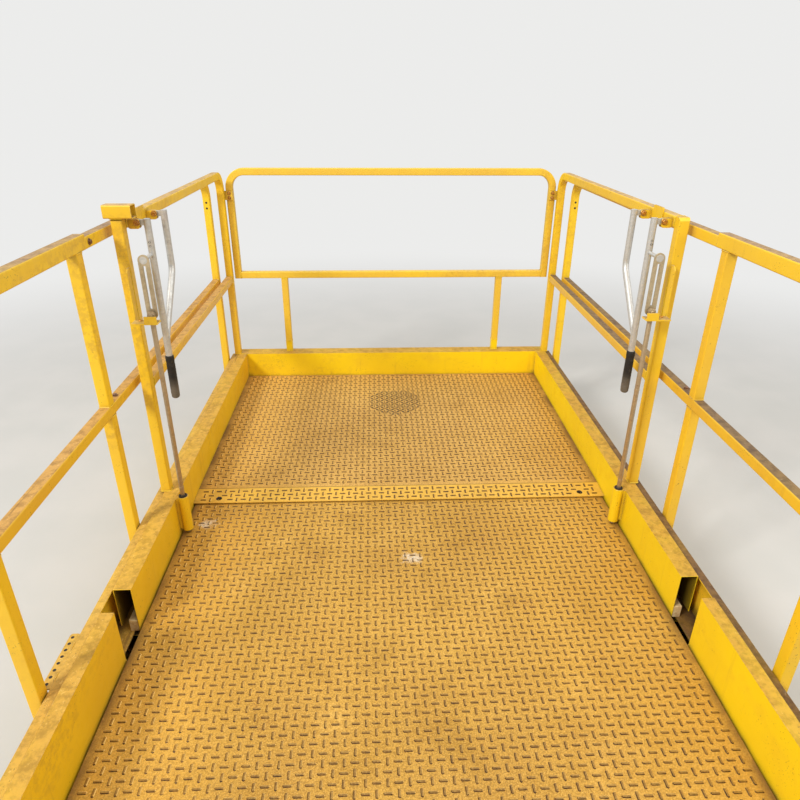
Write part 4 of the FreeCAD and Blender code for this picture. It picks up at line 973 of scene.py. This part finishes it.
def grip_profile():
    """A ribbed grip, thin at its foot, with a plain collar at its top."""
    outer, rib_pitch = 14.5, 6.0
    profile = [(6.0, 0), (9.5, 0.8), (12.0, 3.0), (13.6, 6.5), (outer - 0.6, 11), (outer - 0.6, 14)]
    for rib in range(19):
        level = 17.0 + rib * rib_pitch
        profile += [(outer - 0.5, level), (outer, level + 1), (outer, level + 3.6),
                    (outer - 0.9, level + 4.4), (outer - 0.9, level + 5.4)]
    return profile + [(outer - 0.4, 138), (outer, 141), (outer, 155), (outer - 0.8, 158.5), (11.6, 160)]


def hand_lever(side, s):
    """A straight and a bent tube joined in a fork, with an eye on each, and a grip on the straight one."""
    body = "lever_" + side
    x = s * LEVER_X
    bm = bmesh.new()
    tube(bm, [(x, LEVER_Y, GRIP_Z[1] - 4), (x, LEVER_Y, LEVER_TOP)], LEVER_RADIUS, 28)
    merge_z, kink_z = PIVOT_Z - 385, PIVOT_Z - 190
    bent = rounded([(x, FORK_Y, LEVER_TOP), (x, FORK_Y, kink_z), (x, LEVER_Y, merge_z)], 70)
    tube(bm, bent, LEVER_RADIUS, 28, start_side=ACROSS)

    # A bead where the bent tube runs into the straight one
    run = Vector((0, FORK_Y - LEVER_Y, kink_z - merge_z)).normalized()
    normal = Vector((0, -run.z, run.y))
    joint = []
    for c, q in circle(28):
        offset = LEVER_RADIUS * (c * normal + q * ACROSS)
        reach = (LEVER_RADIUS * abs(c) - offset.y) / run.y
        joint.append(Vector((x, LEVER_Y, merge_z)) + offset + run * reach)
    bead(bm, joint, 2.2)

    for y in (LEVER_Y, FORK_Y):
        turned(bm, (x, y, LEVER_TOP), UPRIGHT,
               [(LEVER_RADIUS, -0.5), (LEVER_RADIUS, 0.0), (10.2, 0.0), (8.2, -0.2), (7.8, -2)], 28)
        plate(bm, eye_outline(), (x, y, PIVOT_Z), s * ACROSS, UPRIGHT, 8)
    turned(bm, (x, ROD_Y + 15, LEVER_PIN_Z), ALONG, [(5.4, 0), (6, 0.6), (6, 86)], 20)
    piece("hand_lever_" + side, bm, body, ZINC, replaces=[body])

    # Two holes in the straight tube: dishes painted dark with painted shade
    bm = bmesh.new()
    for z in (LEVER_TOP - 71, LEVER_TOP - 83):
        turned(bm, (x, LEVER_Y - LEVER_RADIUS + 0.1, z), -ALONG,
               [(3.6, -0.6), (3.6, 0.15), (3.0, 0.2), (2.6, -0.1)], 16)
    piece("lever_holes_" + side, bm, body, HOLE_SHADE_AND_GREASE)

    bm = bmesh.new()
    turned(bm, (x, LEVER_Y, GRIP_Z[0]), UPRIGHT, grip_profile(), 36)
    piece("hand_grip_" + side, bm, body, RUBBER, replaces=["lever_grip_" + side])


def lock(side, s):
    """The rod's eye, nut and rings, the link's washer, and the socket: a slim tube with a collar of dark
    grease and painted shade at its mouth.
    """
    x = s * LEVER_X
    bm = bmesh.new()
    turned(bm, (x, ROD_Y - 9.5, ROD_PIN_Z), ALONG, [(9.5, 0), (11.5, 1.2), (11.5, 16.2), (9.5, 17.2)], 28)
    hex_bolt(bm, (x, ROD_Y - 9.4, ROD_PIN_Z), -ALONG, 6.2, 3.6, washer=False)
    hex_bolt(bm, (x, ROD_Y + 15.2, ROD_PIN_Z), ALONG, 8.2, 4.4, washer=False)
    for z in (MOUTH + 34, DECK_Z + 560):
        turned(bm, (x, ROD_Y, z), UPRIGHT, [(8, 0), (8.5, 0.5), (8.5, 7.5), (8, 8)])
    piece("rod_eye_" + side, bm, "lock_" + side, ROD)

    bm = bmesh.new()
    turned(bm, (x, ROD_Y + 8.0, ROD_PIN_Z + LINK_LENGTH), ALONG,
           [(11.5, 0), (12.5, 0.8), (12.5, 6.4), (11.5, 7.0)], 28)
    piece("link_washer_" + side, bm, "link_" + side, ZINC)

    bm = bmesh.new()
    bore, radius, reach = 9.0, 19.0, s * (BOARD_X - LEVER_X)
    turned(bm, (x, ROD_Y, 0), UPRIGHT,
           [(bore, SOCKET_FOOT), (radius - 0.8, SOCKET_FOOT), (radius, SOCKET_FOOT + 1), (radius, MOUTH - 1),
            (radius - 0.8, MOUTH), (15.0, MOUTH), (14.4, MOUTH - 3), (bore, MOUTH - 3)], 40, True, ACROSS)
    plate(bm, [(0, -9), (reach, -12), (reach, 12), (0, 9)], (x, ROD_Y, (SOCKET_FOOT + MOUTH) / 2),
          ACROSS, ALONG, MOUTH - SOCKET_FOOT - 14)
    piece("lock_tube_" + side, bm, "extension", BOARD_LIT_AND_SHADED[side], replaces=["lock_socket_" + side])

    bm = bmesh.new()
    turned(bm, (x, ROD_Y, MOUTH), UPRIGHT,
           [(bore, -3), (bore, 3.4), (11.0, 5.0), (13.4, 5.0), (14.6, 3.0), (14.6, -3.2)], 36, True, ACROSS)
    piece("socket_collar_" + side, bm, "extension", HOLE_SHADE_AND_GREASE)


# Camera, lights and floor


def stand_camera():
    """The photograph's viewpoint, with its focal length in pixels of its width."""
    yaw, pitch, roll = (math.radians(a) for a in (2.39, 25.71, 0.33))
    focal, width = 626.5, 800
    forward = Vector((math.sin(yaw) * math.cos(pitch), math.cos(yaw) * math.cos(pitch), -math.sin(pitch)))
    right = Vector((math.cos(yaw), -math.sin(yaw), 0))
    up = right.cross(forward)
    turned_right = right * math.cos(roll) + up * math.sin(roll)
    turned_up = -right * math.sin(roll) + up * math.cos(roll)
    matrix = Matrix((turned_right, turned_up, -forward)).transposed().to_4x4()
    matrix.translation = Vector((-0.096, 0.150, 1.683))
    data = bpy.data.cameras.new("camera")
    data.sensor_width = 36
    data.sensor_fit = "HORIZONTAL"
    data.lens = focal / width * data.sensor_width
    data.clip_start = 0.02
    data.clip_end = 200
    camera = add("camera", data)
    camera.matrix_world = matrix
    bpy.context.scene.camera = camera


def lamp(name, place, target, size, watts, color):
    data = bpy.data.lights.new(name, "AREA")
    data.shape = "RECTANGLE"
    data.size = data.size_y = size
    data.energy = watts
    data.color = color
    obj = add(name, data)
    obj.location = place
    obj.rotation_euler = (Vector(target) - Vector(place)).to_track_quat("-Z", "Y").to_euler()


BACKGROUND = (0.84, 0.84, 0.83, 1)
SKY, SKY_STRENGTH = (1.0, 0.965, 0.91, 1), 0.53
FLOOR_HALF = 40.0


def lay_floor():
    """A pale floor just under the part, which fades into the background's colour."""
    s = Shade("floor")
    pale = s.mix(s.ramp(s.noise(3, 4, 0.5), 0.3, 0.7), srgb(198, 198, 196), srgb(203, 202, 200))
    s.done(pale, 0.9, 0.0)
    away = s.vectors("DISTANCE", s.place, (0.0, 1.6, 0.0))
    seen = s.node("LightPath", "Is Camera Ray")
    glow = s.node("Emission", Color=BACKGROUND)
    blend = s.node("MixShader", i0=s.times(s.ramp(away, 2.6, 6.5), seen), i1=s.bsdf.outputs[0], i2=glow)
    out = next(n for n in s.tree.nodes if n.type == "OUTPUT_MATERIAL")
    s.put(out.inputs[0], blend)
    level = (ends("pivot_bracket_right", "z")[0] - 0.5) * MM
    corners = [(a * FLOOR_HALF, b * FLOOR_HALF, level) for a, b in ((-1, -1), (1, -1), (1, 1), (-1, 1))]
    mesh = bpy.data.meshes.new("floor")
    mesh.from_pydata(corners, [], [(0, 1, 2, 3)])
    mesh.materials.append(s.material)
    add("floor", mesh)


def light_world():
    """A plain soft world, which the camera and gloss see in the background's colour."""
    world = bpy.data.worlds.new("studio")
    world.use_nodes = True
    tree = world.node_tree
    light = tree.nodes["Background"]
    light.inputs["Color"].default_value = SKY
    light.inputs["Strength"].default_value = SKY_STRENGTH
    shown = tree.nodes.new("ShaderNodeBackground")
    shown.inputs["Color"].default_value = BACKGROUND
    path = tree.nodes.new("ShaderNodeLightPath")
    either = tree.nodes.new("ShaderNodeMath")
    either.operation = "MAXIMUM"
    choose = tree.nodes.new("ShaderNodeMixShader")
    for source, target in ((path.outputs["Is Camera Ray"], either.inputs[0]),
                           (path.outputs["Is Glossy Ray"], either.inputs[1]),
                           (either.outputs[0], choose.inputs[0]), (light.outputs[0], choose.inputs[1]),
                           (shown.outputs[0], choose.inputs[2]),
                           (choose.outputs[0], tree.nodes["World Output"].inputs[0])):
        tree.links.new(source, target)
    bpy.context.scene.world = world


dress_nodes()
tread("tread_main", "main_frame", 808, DECK_REAR + 18, DECK_FRONT_Y - 14,
      lambda y: (DECK_Z, 0.0), LOCK_HOLES)
tread("tread_extension", "extension", 812, FRONT_ROW_Y, BOARD_INNER_Y - 10, front_level, LIP_HOLES, CREASE_Y)
lip_hole_rims()
for side, s in SIDES:
    guard_rails(side, s)
    extension_rails(side, s)
front_loop()
for side, s in SIDES:
    lever_post(side, s)
welds_main()
welds_gate()
welds_extension()
edge_strip()
rail_bolts()
holes_main()
holes_deck()
tab_bolts()
hinge_bolts()
for side, s in SIDES:
    hand_lever(side, s)
for side, s in SIDES:
    lock(side, s)

stand_camera()
lamp("key", (-6.7, -3.8, 7.5), (0, 2.0, 0.3), 2.4, 890, (1.0, 0.985, 0.95))
lamp("fill", (3.6, 0.2, 3.6), (0, 2.0, 0.4), 4.0, 88, (1.0, 0.965, 0.90))
lamp("top", (0, 2.4, 5.2), (0, 1.8, 0.2), 5.0, 94, (1.0, 0.985, 0.95))
lay_floor()
light_world()
bpy.context.scene.view_settings.view_transform = "Standard"
